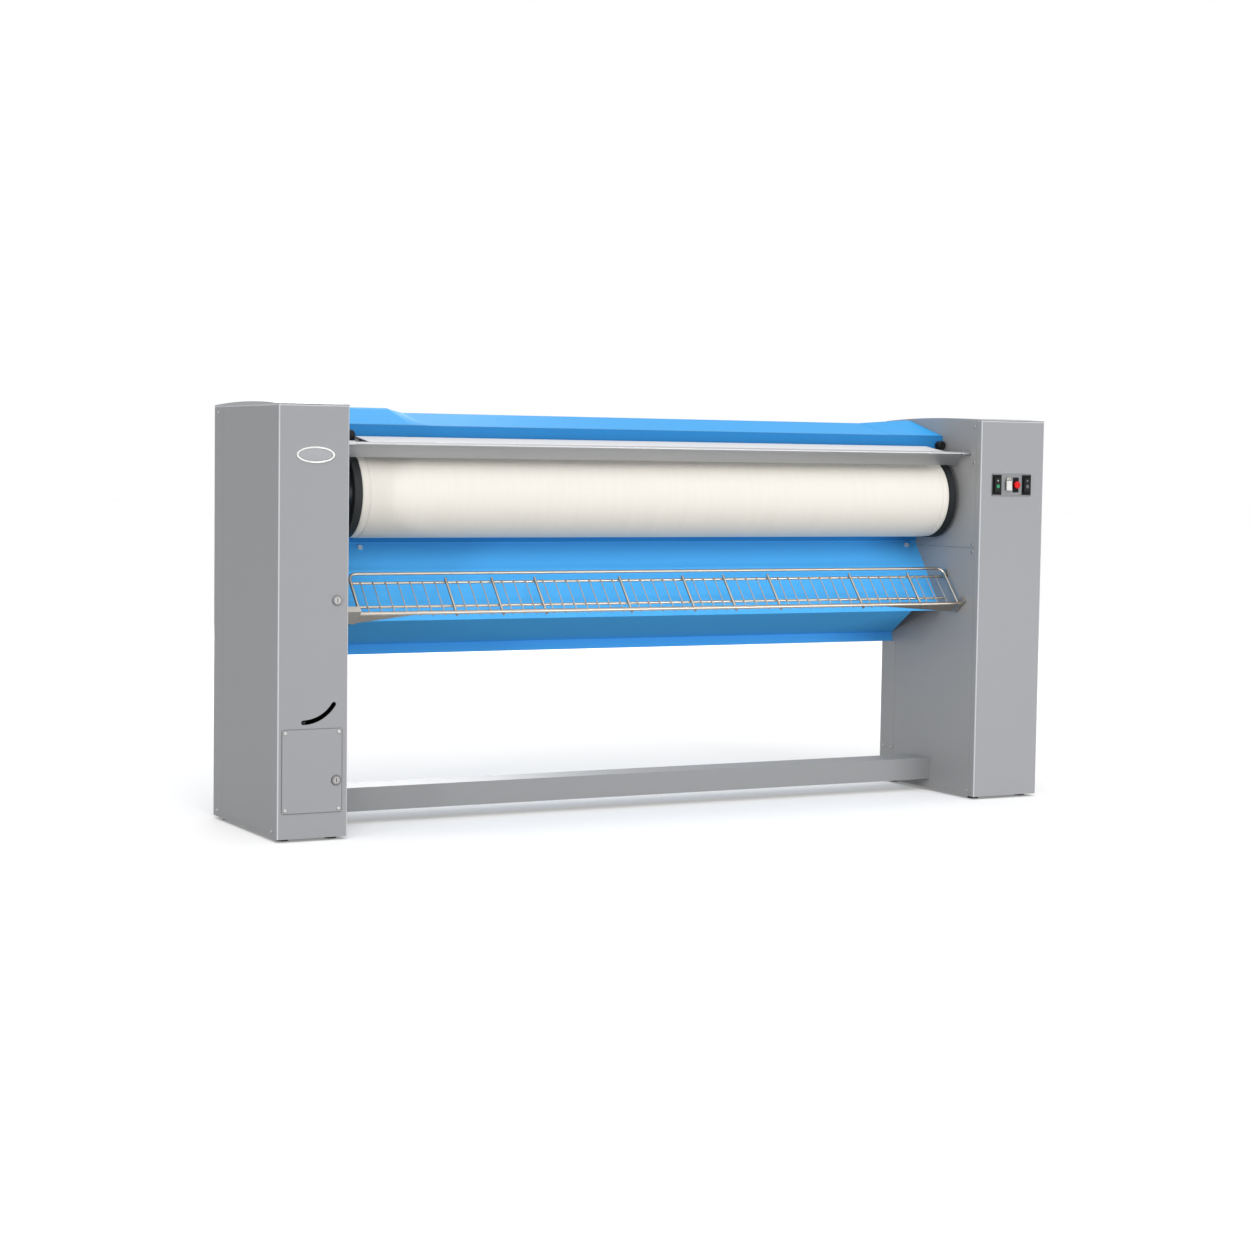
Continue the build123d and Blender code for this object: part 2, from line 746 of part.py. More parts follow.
stand_z = (floor_z, gearbox_z[0])
stand = block(gearbox_x, gearbox_y, stand_z)
stand -= block((gearbox_x[0] + bracket_plate, gearbox_x[1] - bracket_plate), gearbox_y,
               (stand_z[0] + bracket_plate, stand_z[1] - bracket_plate))
save("motor_stand", stand)


def belt_loop(extra, x):
    """Area swept by a taut loop round both sprockets, set off by the given distance."""
    rims = [Pos(at(roller_depth), z) * Circle(radius + extra)
            for z, radius in ((motor_axis_z, motor_sprocket_radius), (roller_z, roller_sprocket_radius))]
    hull = make_hull(rims[0].edges() + rims[1].edges())
    return extrude(Plane.YZ.offset(x[0]) * hull, x[1] - x[0], dir=(1, 0, 0))


chain_x = out(-1, chain_offset, chain_offset + chain_width)
save("drive_chain", belt_loop(chain_clear + chain_band, chain_x) - belt_loop(chain_clear, chain_x))

# ---------------------------------------------------------------- heated chest
chest_inner = cover_radius + chest_gap
chest_outer = chest_inner + chest_thick
chest_x = (roller_x[0] + chest_end_clear, roller_x[1] - chest_end_clear)


def polar(radius, angle):
    """(depth, z) of a point round the roller's axis; the angle runs up from the rear."""
    return roller_depth + radius * cos(radians(angle)), roller_z + radius * sin(radians(angle))


def chest_arc(radius):
    """Arc round the roller's axis, from the chest's low edge to its top edge."""
    angles = (chest_low_angle, (chest_low_angle + chest_top_angle) / 2, chest_top_angle)
    return ThreePointArc(*[(at(depth), z) for depth, z in (polar(radius, angle) for angle in angles)])


inner_arc = chest_arc(chest_inner)
outer_arc = chest_arc(chest_outer)
top_edge = Line(inner_arc @ 1, outer_arc @ 1)
low_edge = Line(outer_arc @ 0, inner_arc @ 0)
chest_face = make_face([inner_arc, top_edge, outer_arc, low_edge])
chest = extrude(Plane.YZ.offset(chest_x[0]) * chest_face, chest_x[1] - chest_x[0], dir=(1, 0, 0))
elements = []
for angle in element_angles:
    depth, z = polar((chest_inner + chest_outer) / 2, angle)
    chest -= rod_x(element_radius, chest_x, depth, z)
    elements.append(rod_x(element_radius, chest_x, depth, z))
save("chest", chest)
save("heating_elements", *elements)

# arms that hang the chest from the side frames, with their pins and press springs
arms = []
pins = []
springs = []
lug_depths = (roller_depth + lug_inner, roller_depth + lug_outer)
lug_z = (roller_z - lug_half_height, roller_z + lug_half_height)
tail_z = (chest_pivot_z - tail_bar_height / 2, chest_pivot_z + tail_bar_height / 2)
tail_front = cam_depth - tail_bar_half_depth
coil_radius = pivot_pin_radius + spring_clear + spring_wire_radius
for side, end in ((-1, chest_x[0]), (1, chest_x[1])):
    arm_x = out(side, arm_near, arm_far)
    plate = section_x([(lug_depths[0], lug_z[1]), (lug_depths[1], lug_z[1]), (lug_depths[1], lug_z[0]),
                       (chest_pivot_depth + arm_eye_radius, chest_pivot_z),
                       (chest_pivot_depth - arm_eye_radius, chest_pivot_z), (lug_depths[0], lug_z[0])], arm_x)
    plate += rod_x(arm_eye_radius, arm_x, chest_pivot_depth, chest_pivot_z)
    lug_x = sorted((end, side * (wall_x + arm_near)))
    plate += block(lug_x, (at(lug_depths[0]), at(lug_depths[1])), lug_z)
    if side < 0:
        plate += block(arm_x, (at(tail_front), at(chest_pivot_depth)), tail_z)
        bar_x = (lever_x - rod_radius - tail_bar_lap, -(wall_x + arm_far))
        plate += block(bar_x, (at(tail_front), at(cam_depth + tail_bar_half_depth)), tail_z)
    plate -= rod_x(pivot_pin_radius + running_gap, out(side, arm_near - 1, arm_far + 1),
                   chest_pivot_depth, chest_pivot_z)
    arms.append(plate)
    pins.append(rod_x(pivot_pin_radius, out(side, frame_near, arm_far + pivot_pin_tail),
                      chest_pivot_depth, chest_pivot_z))
    helix = Helix(spring_pitch, spring_pitch * spring_turns, coil_radius)
    wire = sweep(Plane(origin=helix @ 0, z_dir=helix % 0) * Circle(spring_wire_radius), path=helix)
    start = side * (wall_x + arm_far + spring_stand_off)
    springs.append(Pos(start, at(chest_pivot_depth), chest_pivot_z) * Rot(0, 90 * side, 0) * wire)
save("chest_arms", *arms)
save("chest_pivot_pins", *pins)
save("press_springs", *springs)

# ---------------------------------------------------------------- manual release
half_swing = radians(lever_swing / 2)
cam_throw = rod_lift / (2 * sin(half_swing))
cam_depths = (cam_depth - cam_thick / 2, cam_depth + cam_thick / 2)
arm_depths = (lever_front, lever_front + lever_arm_plate)
lever_low_z = lever_z - lever_reach
lever = rod_y(lever_shaft_radius, lever_x, (lever_front, cam_depths[1]), lever_z)
lever += rod_y(cam_radius, lever_x + cam_throw * cos(half_swing), cam_depths, lever_z - rod_lift / 2)
lever += block((lever_x - lever_arm_width / 2, lever_x + lever_arm_width / 2),
               (at(arm_depths[0]), at(arm_depths[1])), (lever_low_z, lever_z))
lever += rod_y(lever_arm_width / 2, lever_x, arm_depths, lever_low_z)
lever += rod_y(lever_arm_width / 2 + lever_boss_rim, lever_x, arm_depths, lever_z)
lever += rod_y(lever_peg_radius, lever_x, (lever_peg_inset, arm_depths[1]), lever_low_z)
save("release_lever", lever)

rod_bottom = lever_z + cam_radius - rod_lift / 2 + seat_gap
push_rod = rod_z(rod_foot_radius, lever_x, cam_depth, (rod_bottom, rod_bottom + rod_foot_thick))
push_rod += rod_z(rod_radius, lever_x, cam_depth, (rod_bottom, tail_z[0] - rod_play))
save("push_rod", push_rod)

bracket_x = (lever_x - guide_block / 2, -(wall_x + frame_far))
guide = block(bracket_x, (at(cam_depth - guide_block / 2), at(cam_depth + guide_block / 2)),
              (guide_z, guide_z + guide_height))
guide -= rod_z(rod_radius + running_gap, lever_x, cam_depth, (guide_z - 1, guide_z + guide_height + 1))
pillow_depths = (lever_block_depth, lever_block_depth + lever_block_thick)
pillow = block(bracket_x, (at(pillow_depths[0]), at(pillow_depths[1])),
               (lever_z - lever_block_height / 2, lever_z + lever_block_height / 2))
pillow_bore = (pillow_depths[0] - 1, pillow_depths[1] + 1)
pillow -= rod_y(lever_shaft_radius + running_gap, lever_x, pillow_bore, lever_z)
save("release_brackets", guide, pillow)

# ---------------------------------------------------------------- rear panel, hood and hinge
panel_x = (seat_gap - wall_x, wall_x - seat_gap)
rear_panel_depth = hinge_depth + rear_panel_behind_hinge
hood_x = (hood_side_gap - wall_x, wall_x - hood_side_gap)
hinge_span = 2 * (wall_x - hood_side_gap - hinge_end_space)
knuckle_pitch = hinge_span / (knuckle_count - 1)
knuckle_x = [-hinge_span / 2 + index * knuckle_pitch for index in range(knuckle_count)]

underside_slope = (apron_front[1] - apron_rear[1]) / (apron_rear[0] - apron_front[0])
panel_foot = apron_rear[1] + underside_slope * (apron_rear[0] - rear_panel_depth) + sheet + 2 * seat_gap
panel_top = hinge_z - rear_panel_drop
panel_y = (at(rear_panel_depth), at(rear_panel_depth + sheet))
rear_panel = block(panel_x, panel_y, (panel_foot, panel_top))
hood_line = [(fascia_bottom_depth + fascia_return, fascia_bottom_z), (fascia_bottom_depth, fascia_bottom_z),
             (fascia_top_depth, fascia_top_z), (crest_depth - crest_round / 2, crest_z - crest_fall),
             (crest_depth, crest_z), (crest_depth + crest_round / 2, crest_z - crest_fall),
             (hood_rear_depth, hood_rear_z)]
hood = section_x(folded(hood_line, -sheet), hood_x)
leaf = [(hood_rear_depth - 1, hood_rear_z - 0.5), (hood_rear_depth - 1.5, hood_rear_z - sheet),
        (hinge_depth - sheet, hinge_z - 1), (hinge_depth, hinge_z + knuckle_radius - 1.5)]
for index, x in enumerate(knuckle_x):
    span = (x - knuckle_length / 2, x + knuckle_length / 2)
    knuckle = rod_x(knuckle_radius, span, hinge_depth, hinge_z)
    if index % 2:
        rear_panel += knuckle + block(span, panel_y, (panel_top - 1, hinge_z))
    else:
        hood += knuckle + section_x(leaf, span)
pin_span = (knuckle_x[0] - knuckle_length / 2, knuckle_x[-1] + knuckle_length / 2)
rear_panel -= rod_x(hinge_pin_radius, hood_x, hinge_depth, hinge_z)
hood -= rod_x(hinge_pin_radius + running_gap, hood_x, hinge_depth, hinge_z)
save("hood_hinge_pin", rod_x(hinge_pin_radius, pin_span, hinge_depth, hinge_z))
save("rear_panel", rear_panel)

# raised caps at the hood's ends, sloping down to it
end_caps = []
cap_low = hood_line[2:]
cap_run = crest_depth - crest_round / 2 - fascia_top_depth
cap_high = [(depth, z + max(end_cap_edge, end_cap_rise * min(1, (depth - fascia_top_depth) / cap_run)))
            for depth, z in cap_low]
cap_thin = [(depth, z + end_cap_edge) for depth, z in cap_low]


def cap_outline(top, x):
    """Upright outline across the hood between its skin and the given upper line."""
    return Plane.YZ.offset(x) * Polygon(*[(at(depth), z) for depth, z in top + cap_low[::-1]], align=None)


for side, end, flat, slope in ((-1, hood_x[0], left_cap_flat, left_cap_slope),
                               (1, hood_x[1], right_cap_flat, right_cap_slope)):
    flat_end = end - side * flat
    body = section_x(cap_high + cap_low[::-1], sorted((end, flat_end)))
    ramp = loft([cap_outline(cap_high, flat_end), cap_outline(cap_thin, flat_end - side * slope)], ruled=True)
    end_caps.append(body + ramp)
save("hood_end_caps", *end_caps)

# clamping knobs at the hood's ends, and the slotted lugs they screw into
catches = []
fascia_lean = (fascia_top_depth - fascia_bottom_depth) / (fascia_top_z - fascia_bottom_z)
knob_seat = fascia_bottom_depth + fascia_lean * (knob_z - knob_radius - fascia_bottom_z)
catch_front = fascia_top_depth + catch_gap
catch_rear = catch_front + catch_thick
stud_hole = knob_stud_radius + stud_clear
for side, name, space in ((-1, "left", left_knob_space), (1, "right", right_knob_space)):
    x = side * (wall_x - space)
    knob = rod_y(knob_radius, x, (knob_seat - knob_thick, knob_seat - seat_gap), knob_z)
    knob = fillet(front_edge(knob), knob_round)
    knob += rod_y(knob_stud_radius, x, (knob_seat - 1, catch_rear), knob_z)
    save(f"{name}_hood_knob", knob)
    hood -= rod_y(knob_stud_radius + running_gap, x, (knob_seat - 1, catch_front), knob_z)
    catch_x = sorted((side * wall_x, x - side * catch_size / 2))
    lug = block(catch_x, (at(catch_front), at(catch_rear)),
                (knob_z - catch_size / 2, knob_z + catch_size / 2))
    lug -= block((x - stud_hole, x + stud_hole), (at(catch_front - 1), at(catch_rear + 1)),
                 (knob_z - stud_hole, knob_z + catch_size))
    catches.append(lug)
save("hood_catches", *catches)
save("hood", hood)

# ---------------------------------------------------------------- apron under the roller
apron = section_x(folded([apron_top, apron_bend, apron_front, apron_rear, apron_flange], sheet), panel_x)
apron_screws = []
face = (apron_front[0] - apron_bend[0], apron_front[1] - apron_bend[1])
along = (face[0] / hypot(*face), face[1] / hypot(*face))
screw_spot = (apron_bend[0] + along[0] * apron_screw_below, apron_bend[1] + along[1] * apron_screw_below)
for side, end, inset in ((-1, panel_x[0], left_apron_screw), (1, panel_x[1], right_apron_screw)):
    relief = section_z([(end + side, at(apron_front[0] - apron_relief_front)),
                        (end - side * apron_relief, at(apron_front[0] - apron_relief_front)),
                        (end - side * apron_relief, at(apron_front[0])), (end + side, at(apron_rear[0]))],
                       (apron_flange[1], apron_front[1] - seat_gap))
    apron -= relief
    place = Vector(side * (wall_x - inset), at(screw_spot[0]), screw_spot[1])
    plane = Plane(origin=place, x_dir=(1, 0, 0), z_dir=Vector(0, along[1], -along[0]))
    head = extrude(plane * Circle(screw_head_radius * 1.5), screw_head_height * 1.5)
    shank = extrude(plane * Circle(screw_shank_radius), -screw_length)
    apron -= extrude(plane * Circle(screw_hole), -screw_length)
    apron_screws.append(head + shank)
save("apron", apron)
save("apron_screws", *apron_screws)

# ---------------------------------------------------------------- feed table and finger guard
table_x = (table_left_space - wall_x, wall_x - table_right_space)
save("feed_table", section_x(folded([table_front, table_rear, table_nose], -sheet), table_x))
table_slope = (table_rear[1] - table_front[1]) / (table_rear[0] - table_front[0])
table_under = sheet * hypot(1, table_slope)
bracket_top = table_bracket_low + table_bracket_height
bar_outline = [(table_bracket_front, table_bracket_low), (table_bracket_front, bracket_top),
               (table_bracket_rear, bracket_top), (table_bracket_rear, table_bracket_low)]
pad_outline = [(depth, table_front[1] + table_slope * (depth - table_front[0]) - table_under)
               for depth in (table_bracket_front, table_bracket_rear)]
pad_outline += [(table_bracket_rear, table_bracket_low), (table_bracket_front, table_bracket_low)]
brackets = []
for side, end in ((-1, table_x[0]), (1, table_x[1])):
    lap_end = end - side * table_bracket_lap
    bracket = section_x(bar_outline, sorted((side * wall_x, lap_end)))
    bracket += section_x(pad_outline, sorted((end - side * sheet, lap_end)))
    brackets.append(bracket)
save("table_brackets", *brackets)

guard_x = (left_guard_gap - wall_x, wall_x - right_guard_gap)
guard_hem_end = (guard_low[0] + guard_hem, guard_low[1] + guard_hem / 2)
guard = section_x(folded([(bead_depth, bead_z), guard_low, guard_hem_end], sheet), guard_x)
guard += rod_x(bead_radius, guard_x, bead_depth, bead_z)
guard_pins = []
for side, end in ((-1, guard_x[0]), (1, guard_x[1])):
    boss_x = sorted((end, end - side * guard_boss_width))
    bore_x = sorted((side * wall_x, end - side * guard_pin_lap))
    guard += rod_x(guard_boss_radius, boss_x, bead_depth, bead_z)
    guard -= rod_x(guard_pin_radius + running_gap, bore_x, bead_depth, bead_z)
    pin_x = sorted((side * wall_x, end - side * (guard_pin_lap - 1)))
    pin = rod_x(guard_pin_radius, pin_x, bead_depth, bead_z)
    collar = rod_x(guard_boss_radius, sorted((side * wall_x, end + side * seat_gap)), bead_depth, bead_z)
    guard_pins.append(pin + collar)
save("finger_guard", guard)
save("guard_pivots", *guard_pins)

# ---------------------------------------------------------------- linen rack
rise = (rack_high[0] - rack_low[0], rack_high[1] - rack_low[1])
rack_height = hypot(*rise)
up = (rise[0] / rack_height, rise[1] / rack_height)
back = (up[1], -up[0])
rack_x = (left_rack_gap - wall_x, wall_x - right_rack_gap)


def rack_point(x, height, behind):
    """Point at a height up the rack's slope, and a distance behind its rods' plane."""
    return (x, at(rack_low[0] + up[0] * height + back[0] * behind),
            rack_low[1] + up[1] * height + back[1] * behind)


def rack_rail(x, height, behind, radius):
    """Straight rod across the rack."""
    return rod_between(rack_point(x[0], height, behind), rack_point(x[1], height, behind), radius)


wire_plane = rack_low_rod + rack_bar_rod - rod_weld
rail_plane = wire_plane + rack_bar_rod + rack_rail_rod - rod_weld
thin_plane = wire_plane + rack_bar_rod - rack_wire_rod
loop = [rack_point(rack_x[0], 0, 0), rack_point(rack_x[0], rack_height, 0),
        rack_point(rack_x[1], rack_height, 0), rack_point(rack_x[1], 0, 0)]
frame_path = FilletPolyline(*loop, radius=rack_corner)
rack = sweep(Plane(origin=frame_path @ 0, z_dir=frame_path % 0) * Circle(rack_top_rod), path=frame_path)
rack += rack_rail((rack_rod_gap - wall_x, wall_x - rack_rod_gap), 0, 0, rack_low_rod)
rack += rack_rail(rack_x, rack_rail_upper, rail_plane, rack_rail_rod)
bar_x = [rack_x[0] + place * (rack_x[1] - rack_x[0]) for place in rack_bar_places]
bar_low, bar_high = -rack_bar_underhang, rack_rail_upper + rack_bar_overhang
wire_low, wire_high = -rack_wire_rod, rack_rail_upper + rack_wire_overhang
rods = []
for x in bar_x:
    bar_foot = rack_point(x, bar_low, wire_plane)
    rods.append(rod_between(bar_foot, rack_point(x, bar_high, wire_plane), rack_bar_rod))
bay_ends = [rack_x[0]] + bar_x + [rack_x[1]]
for start, stop in zip(bay_ends, bay_ends[1:]):
    wire_count = int((stop - start - 2 * rack_wire_margin) / rack_wire_pitch) + 1
    for index in range(wire_count):
        x = (start + stop + rack_wire_pitch * (2 * index + 1 - wire_count)) / 2
        wire_foot = rack_point(x, wire_low, thin_plane)
        rods.append(rod_between(wire_foot, rack_point(x, wire_high, thin_plane), rack_wire_rod))
rack += rods
rack += rack_rail((rack_x[0], x + rack_wire_rod), rack_rail_lower, rail_plane, rack_rail_rod)
slant_length = hypot(gusset_back, gusset_drop)
slant = (gusset_back / slant_length, -gusset_drop / slant_length)
square = (-slant[1], slant[0])


def slant_point(along, across):
    """Depth and height of a point along and across the slant behind the low rod."""
    return (rack_low[0] + slant[0] * along + square[0] * across,
            rack_low[1] + slant[1] * along + square[1] * across)


gusset_start = rack_low_rod - rod_weld
for side, end, length in ((-1, rack_x[0], left_gusset_length), (1, rack_x[1], right_gusset_length)):
    plane = Plane(origin=(0, at(rack_low[0]), rack_low[1]), x_dir=(1, 0, 0), z_dir=(0, square[0], square[1]))
    wedge = [(end, gusset_start), (end, slant_length), (end - side * length, gusset_start)]
    rack += extrude(plane * Polygon(*wedge, align=None), gusset_thick / 2, both=True)
save("linen_rack", rack)

# lugs that carry the low rod, and studs that the upper rail leans on
lugs = []
lug_outline = [slant_point(-rack_lug_front, -rack_lug_half), slant_point(-rack_lug_front, rack_lug_half),
               slant_point(rack_lug_rear, rack_lug_half), slant_point(rack_lug_rear, -rack_lug_half)]
stud_spot = rack_point(0, rack_stud_height, rack_top_rod + seat_gap + rack_stud_radius)
stud_depth = stud_spot[1] - front_y
for side, end in ((-1, rack_x[0]), (1, rack_x[1])):
    lug_x = sorted((side * wall_x, end + side * (rack_top_rod + seat_gap)))
    lug = section_x(lug_outline, lug_x)
    lug -= rod_x(rack_low_rod + running_gap, lug_x, *rack_low)
    lugs.append(lug)
    lugs.append(rod_x(rack_stud_radius, sorted((side * wall_x, end)), stud_depth, stud_spot[2]))
    washer_x = sorted((side * wall_x, side * (wall_x - rack_stud_washer_thick)))
    washer = rod_x(rack_stud_washer, washer_x, stud_depth, stud_spot[2])
    lugs.append(washer - rod_x(rack_stud_radius + running_gap, washer_x, stud_depth, stud_spot[2]))
save("rack_brackets", *lugs)

# ---------------------------------------------------------------- controls
control_z = casing_top - control_below_top
plate_x = (wall_x + control_inset, wall_x + control_inset + control_width)
plate_z = (control_z - control_height / 2, control_z + control_height / 2)
plate_outline = RectangleRounded(control_width, control_height, control_corner)
control = extrude(Plane.XZ.offset(-front_y) * Pos(sum(plate_x) / 2, control_z) * plate_outline, control_plate)
right_cover -= block((plate_x[0] + control_margin, plate_x[1] - control_margin),
                     (front_y - 1, front_y + sheet + 1),
                     (plate_z[0] + control_margin, plate_z[1] - control_margin))
plate_through = (front_y - control_plate - 1, front_y + 1)


def around(middle, size, grow=0.0):
    """Range of the given size about its middle, grown at both ends."""
    return middle - size / 2 - grow, middle + size / 2 + grow


frames = []
for name, x in (("mains_rocker", plate_x[0] + switch_inset + switch_width / 2),
                ("heat_rocker", plate_x[1] - switch_inset - switch_width / 2)):
    body_x = around(x, switch_width, -switch_side_step)
    body_z = around(control_z, switch_height, -switch_end_step)
    control -= block(body_x, plate_through, body_z)
    body = block(around(x, switch_width), (front_y - switch_proud, front_y - control_plate),
                 around(control_z, switch_height))
    body += block(body_x, (front_y - control_plate, front_y + switch_body_depth), body_z)
    body -= block(around(x, rocker_width, rocker_side_clear),
                  (front_y - switch_proud - 1, front_y + switch_body_depth - switch_floor),
                  around(control_z, rocker_height, rocker_end_clear))
    pin_x = around(x, rocker_width, rocker_side_clear + 1.5)
    body -= rod_x(rocker_pin_radius + running_gap, (pin_x[0] - rocker_pin_play, pin_x[1] + rocker_pin_play),
                  rocker_pin_depth, control_z)
    rocker = block(around(x, rocker_width),
                   (front_y - switch_proud - rocker_proud, front_y + rocker_seat_depth),
                   around(control_z, rocker_height))
    save(name, rocker + rod_x(rocker_pin_radius, pin_x, rocker_pin_depth, control_z))
    frames.append(body)

start_x = plate_x[0] + start_offset
start_z = control_z - start_drop
stem_grow = -start_stem_step
control -= block(around(start_x, start_width, stem_grow + start_stem_clear), plate_through,
                 around(start_z, start_height, stem_grow + start_stem_clear))
head_rear = front_y - control_plate - start_travel - seat_gap
start_head = block(around(start_x, start_width), (front_y - start_proud, head_rear),
                   around(start_z, start_height))
start_head = fillet(start_head.edges().filter_by(Axis.Y), start_round)
start_stem = block(around(start_x, start_width, stem_grow), (head_rear - 0.5, front_y + start_stem_depth),
                   around(start_z, start_height, stem_grow))
save("start_button", start_head + start_stem)

stop_x = plate_x[0] + stop_offset
sleeve_radius = stop_stem_radius + stop_sleeve_wall
stop_head_rear = -stop_plate_proud - stop_travel - seat_gap
stop_body = block(around(stop_x, stop_plate_width), (front_y - stop_plate_proud, front_y - control_plate),
                  around(control_z, stop_plate_height))
stop_body += rod_y(sleeve_radius, stop_x, (-control_plate, switch_body_depth), control_z)
stop_bore = (-stop_plate_proud - 1, switch_body_depth + 1)
stop_body -= rod_y(stop_stem_radius + running_gap, stop_x, stop_bore, control_z)
control -= rod_y(sleeve_radius + screw_hole_clear, stop_x, (-control_plate - 1, 1), control_z)
frames.append(stop_body)
stop_button = rod_y(stop_head_radius, stop_x, (-proud_reach, stop_head_rear), control_z)
stop_button = fillet(front_edge(stop_button), stop_round)
stop_button += rod_y(stop_stem_radius, stop_x, (stop_head_rear - 0.5, switch_body_depth - stop_stem_end),
                     control_z)
save("stop_button", stop_button)
save("switch_frames", *frames)
save("control_plate", control)
save("right_cover", right_cover)

# control box on the side frame, and the supply gland
box_x = out(1, control_box_offset, control_box_offset + control_box_width)
box_y = (at(control_box_front), at(control_box_front + control_box_depth))
box_z = (control_box_bottom, control_box_bottom + control_box_height)
control_box = block(box_x, box_y, box_z)
control_box -= block((box_x[0] + sheet, box_x[1] - sheet), (box_y[0] + sheet, box_y[1] - sheet),
                     (box_z[0] + sheet, box_z[1] - sheet))
foot_y = (box_y[0] + box_foot_inset, box_y[0] + box_foot_inset + box_foot_width)
for z in (box_z[0] + box_foot_height, box_z[1] - 2 * box_foot_height):
    control_box += block(out(1, frame_far, control_box_offset), foot_y, (z, z + box_foot_height))
save("control_box", control_box)

gland_x = wall_x + right_width / 2
gland_through = (casing_depth - gland_thread_length - 1, casing_depth + proud_reach + 1)
right_rear_cover -= rod_y(gland_thread_radius + screw_hole_clear, gland_x,
                          (casing_depth - sheet - 1, casing_depth + 1), gland_z)
gland_plane = Plane.XZ.offset(-rear_y) * Pos(gland_x, gland_z)
gland = extrude(gland_plane * RegularPolygon(gland_radius, 6), -proud_reach)
gland += rod_y(gland_thread_radius, gland_x, (casing_depth - gland_thread_length, casing_depth), gland_z)
gland -= rod_y(gland_bore_radius, gland_x, gland_through, gland_z)
save("cable_gland", gland)
save("right_rear_cover", right_rear_cover)
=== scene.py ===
from math import cos, pi, radians, sin

import bmesh
import bpy
from mathutils import Matrix, Quaternion, Vector


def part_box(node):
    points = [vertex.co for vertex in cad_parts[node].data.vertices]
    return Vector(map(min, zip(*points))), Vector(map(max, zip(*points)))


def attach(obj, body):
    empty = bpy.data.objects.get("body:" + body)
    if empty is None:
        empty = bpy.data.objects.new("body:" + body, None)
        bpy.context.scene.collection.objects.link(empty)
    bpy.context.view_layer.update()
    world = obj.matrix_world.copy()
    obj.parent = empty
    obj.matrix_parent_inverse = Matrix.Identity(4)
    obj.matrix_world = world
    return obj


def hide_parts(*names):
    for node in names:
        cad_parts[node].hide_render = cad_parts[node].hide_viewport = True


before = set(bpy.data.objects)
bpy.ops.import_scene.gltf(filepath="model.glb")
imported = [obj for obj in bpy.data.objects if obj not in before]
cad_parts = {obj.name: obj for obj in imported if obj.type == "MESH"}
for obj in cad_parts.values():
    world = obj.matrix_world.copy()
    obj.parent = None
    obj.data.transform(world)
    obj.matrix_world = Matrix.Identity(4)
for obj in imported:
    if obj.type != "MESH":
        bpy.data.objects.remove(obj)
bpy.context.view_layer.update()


# ---------------------------------------------------------------- casing sheet metal
# The two pedestals are folded sheet steel with a satin grey powder coat, screwed to base trays.
# Painted highlights lighten the coat along its bends and top edge; its inner returns take the inner
# panels' lighter tone as painted light, and a painted shade line darkens the access plate's edge.
class Value:
    """A number or colour that varies over a surface; an expression on it adds its Math nodes."""

    def __init__(self, finish, socket):
        self.finish = finish
        self.socket = socket

    def maths(self, operation, *values):
        return self.finish.node("ShaderNodeMath", {"operation": operation}, dict(enumerate(values)))

    def __add__(self, other):
        return self.maths("ADD", self, other)

    def __sub__(self, other):
        return self.maths("SUBTRACT", self, other)

    def __rsub__(self, other):
        return self.maths("SUBTRACT", other, self)

    def __mul__(self, other):
        return self.maths("MULTIPLY", self, other)

    def size(self):
        return self.maths("ABSOLUTE", self)

    def least(self, other):
        return self.maths("MINIMUM", self, other)

    def most(self, other):
        return self.maths("MAXIMUM", self, other)

    def clamped(self):
        return self.most(0.0).least(1.0)

    def sine(self):
        return self.maths("SINE", self)

    __radd__ = __add__
    __rmul__ = __mul__


class Finish:
    """A material with one Principled shader; constants are set on the shader's own sockets."""

    def __init__(self, name, **constants):
        self.material = bpy.data.materials.new(name)
        self.material.use_nodes = True
        self.tree = self.material.node_tree
        self.shader = self.tree.nodes["Principled BSDF"]
        for label, value in constants.items():
            self.shader.inputs[label.replace("_", " ")].default_value = value

    def node(self, kind, settings, inputs, output=0):
        """Add a node: its settings first, then the values or links of its sockets."""
        node = self.tree.nodes.new(kind)
        for label, value in settings.items():
            setattr(node, label, value)
        for label, value in inputs.items():
            if isinstance(value, Value):
                self.tree.links.new(value.socket, node.inputs[label])
            else:
                node.inputs[label].default_value = value
        return Value(self, node.outputs[output])

    def place(self):
        return self.node("ShaderNodeTexCoord", {}, {}, "Object")

    def axes(self):
        split = self.node("ShaderNodeSeparateXYZ", {}, {"Vector": self.place()}).socket.node
        return [Value(self, socket) for socket in split.outputs]

    def noise(self, scale, detail=2.0, stretch=(1, 1, 1)):
        spot = self.node("ShaderNodeMapping", {}, {"Vector": self.place(), "Scale": stretch})
        return self.node("ShaderNodeTexNoise", {}, {"Vector": spot, "Scale": scale, "Detail": detail})

    def mix(self, factor, first, second):
        """Colour between two others; 0, 6, 7 and 2 are the node's factor, colours and result."""
        return self.node("ShaderNodeMix", {"data_type": "RGBA"}, {0: factor, 6: first, 7: second}, 2)

    def blend(self, factor, dark, light):
        return self.mix(factor, (*dark, 1), (*light, 1))

    def set(self, label, value):
        self.tree.links.new(value.socket, self.shader.inputs[label])

    def overlay(self, mask, tone):
        """Lay another tone over the base colour where the mask is 1."""
        under = Value(self, self.shader.inputs["Base Color"].links[0].from_socket)
        self.set("Base Color", self.mix(mask, under, (*tone, 1)))

    def bump(self, height, distance, strength):
        inputs = {"Height": height, "Distance": distance, "Strength": strength}
        self.set("Normal", self.node("ShaderNodeBump", {}, inputs))


def tint(red, green, blue):
    """Linear colour of a tone read as 0-255."""
    return tuple(((tone / 255 + 0.055) / 1.055) ** 2.4 for tone in (red, green, blue))


def shade(colour, factor):
    """The same colour made darker or lighter."""
    return tuple(min(1.0, tone * factor) for tone in colour)


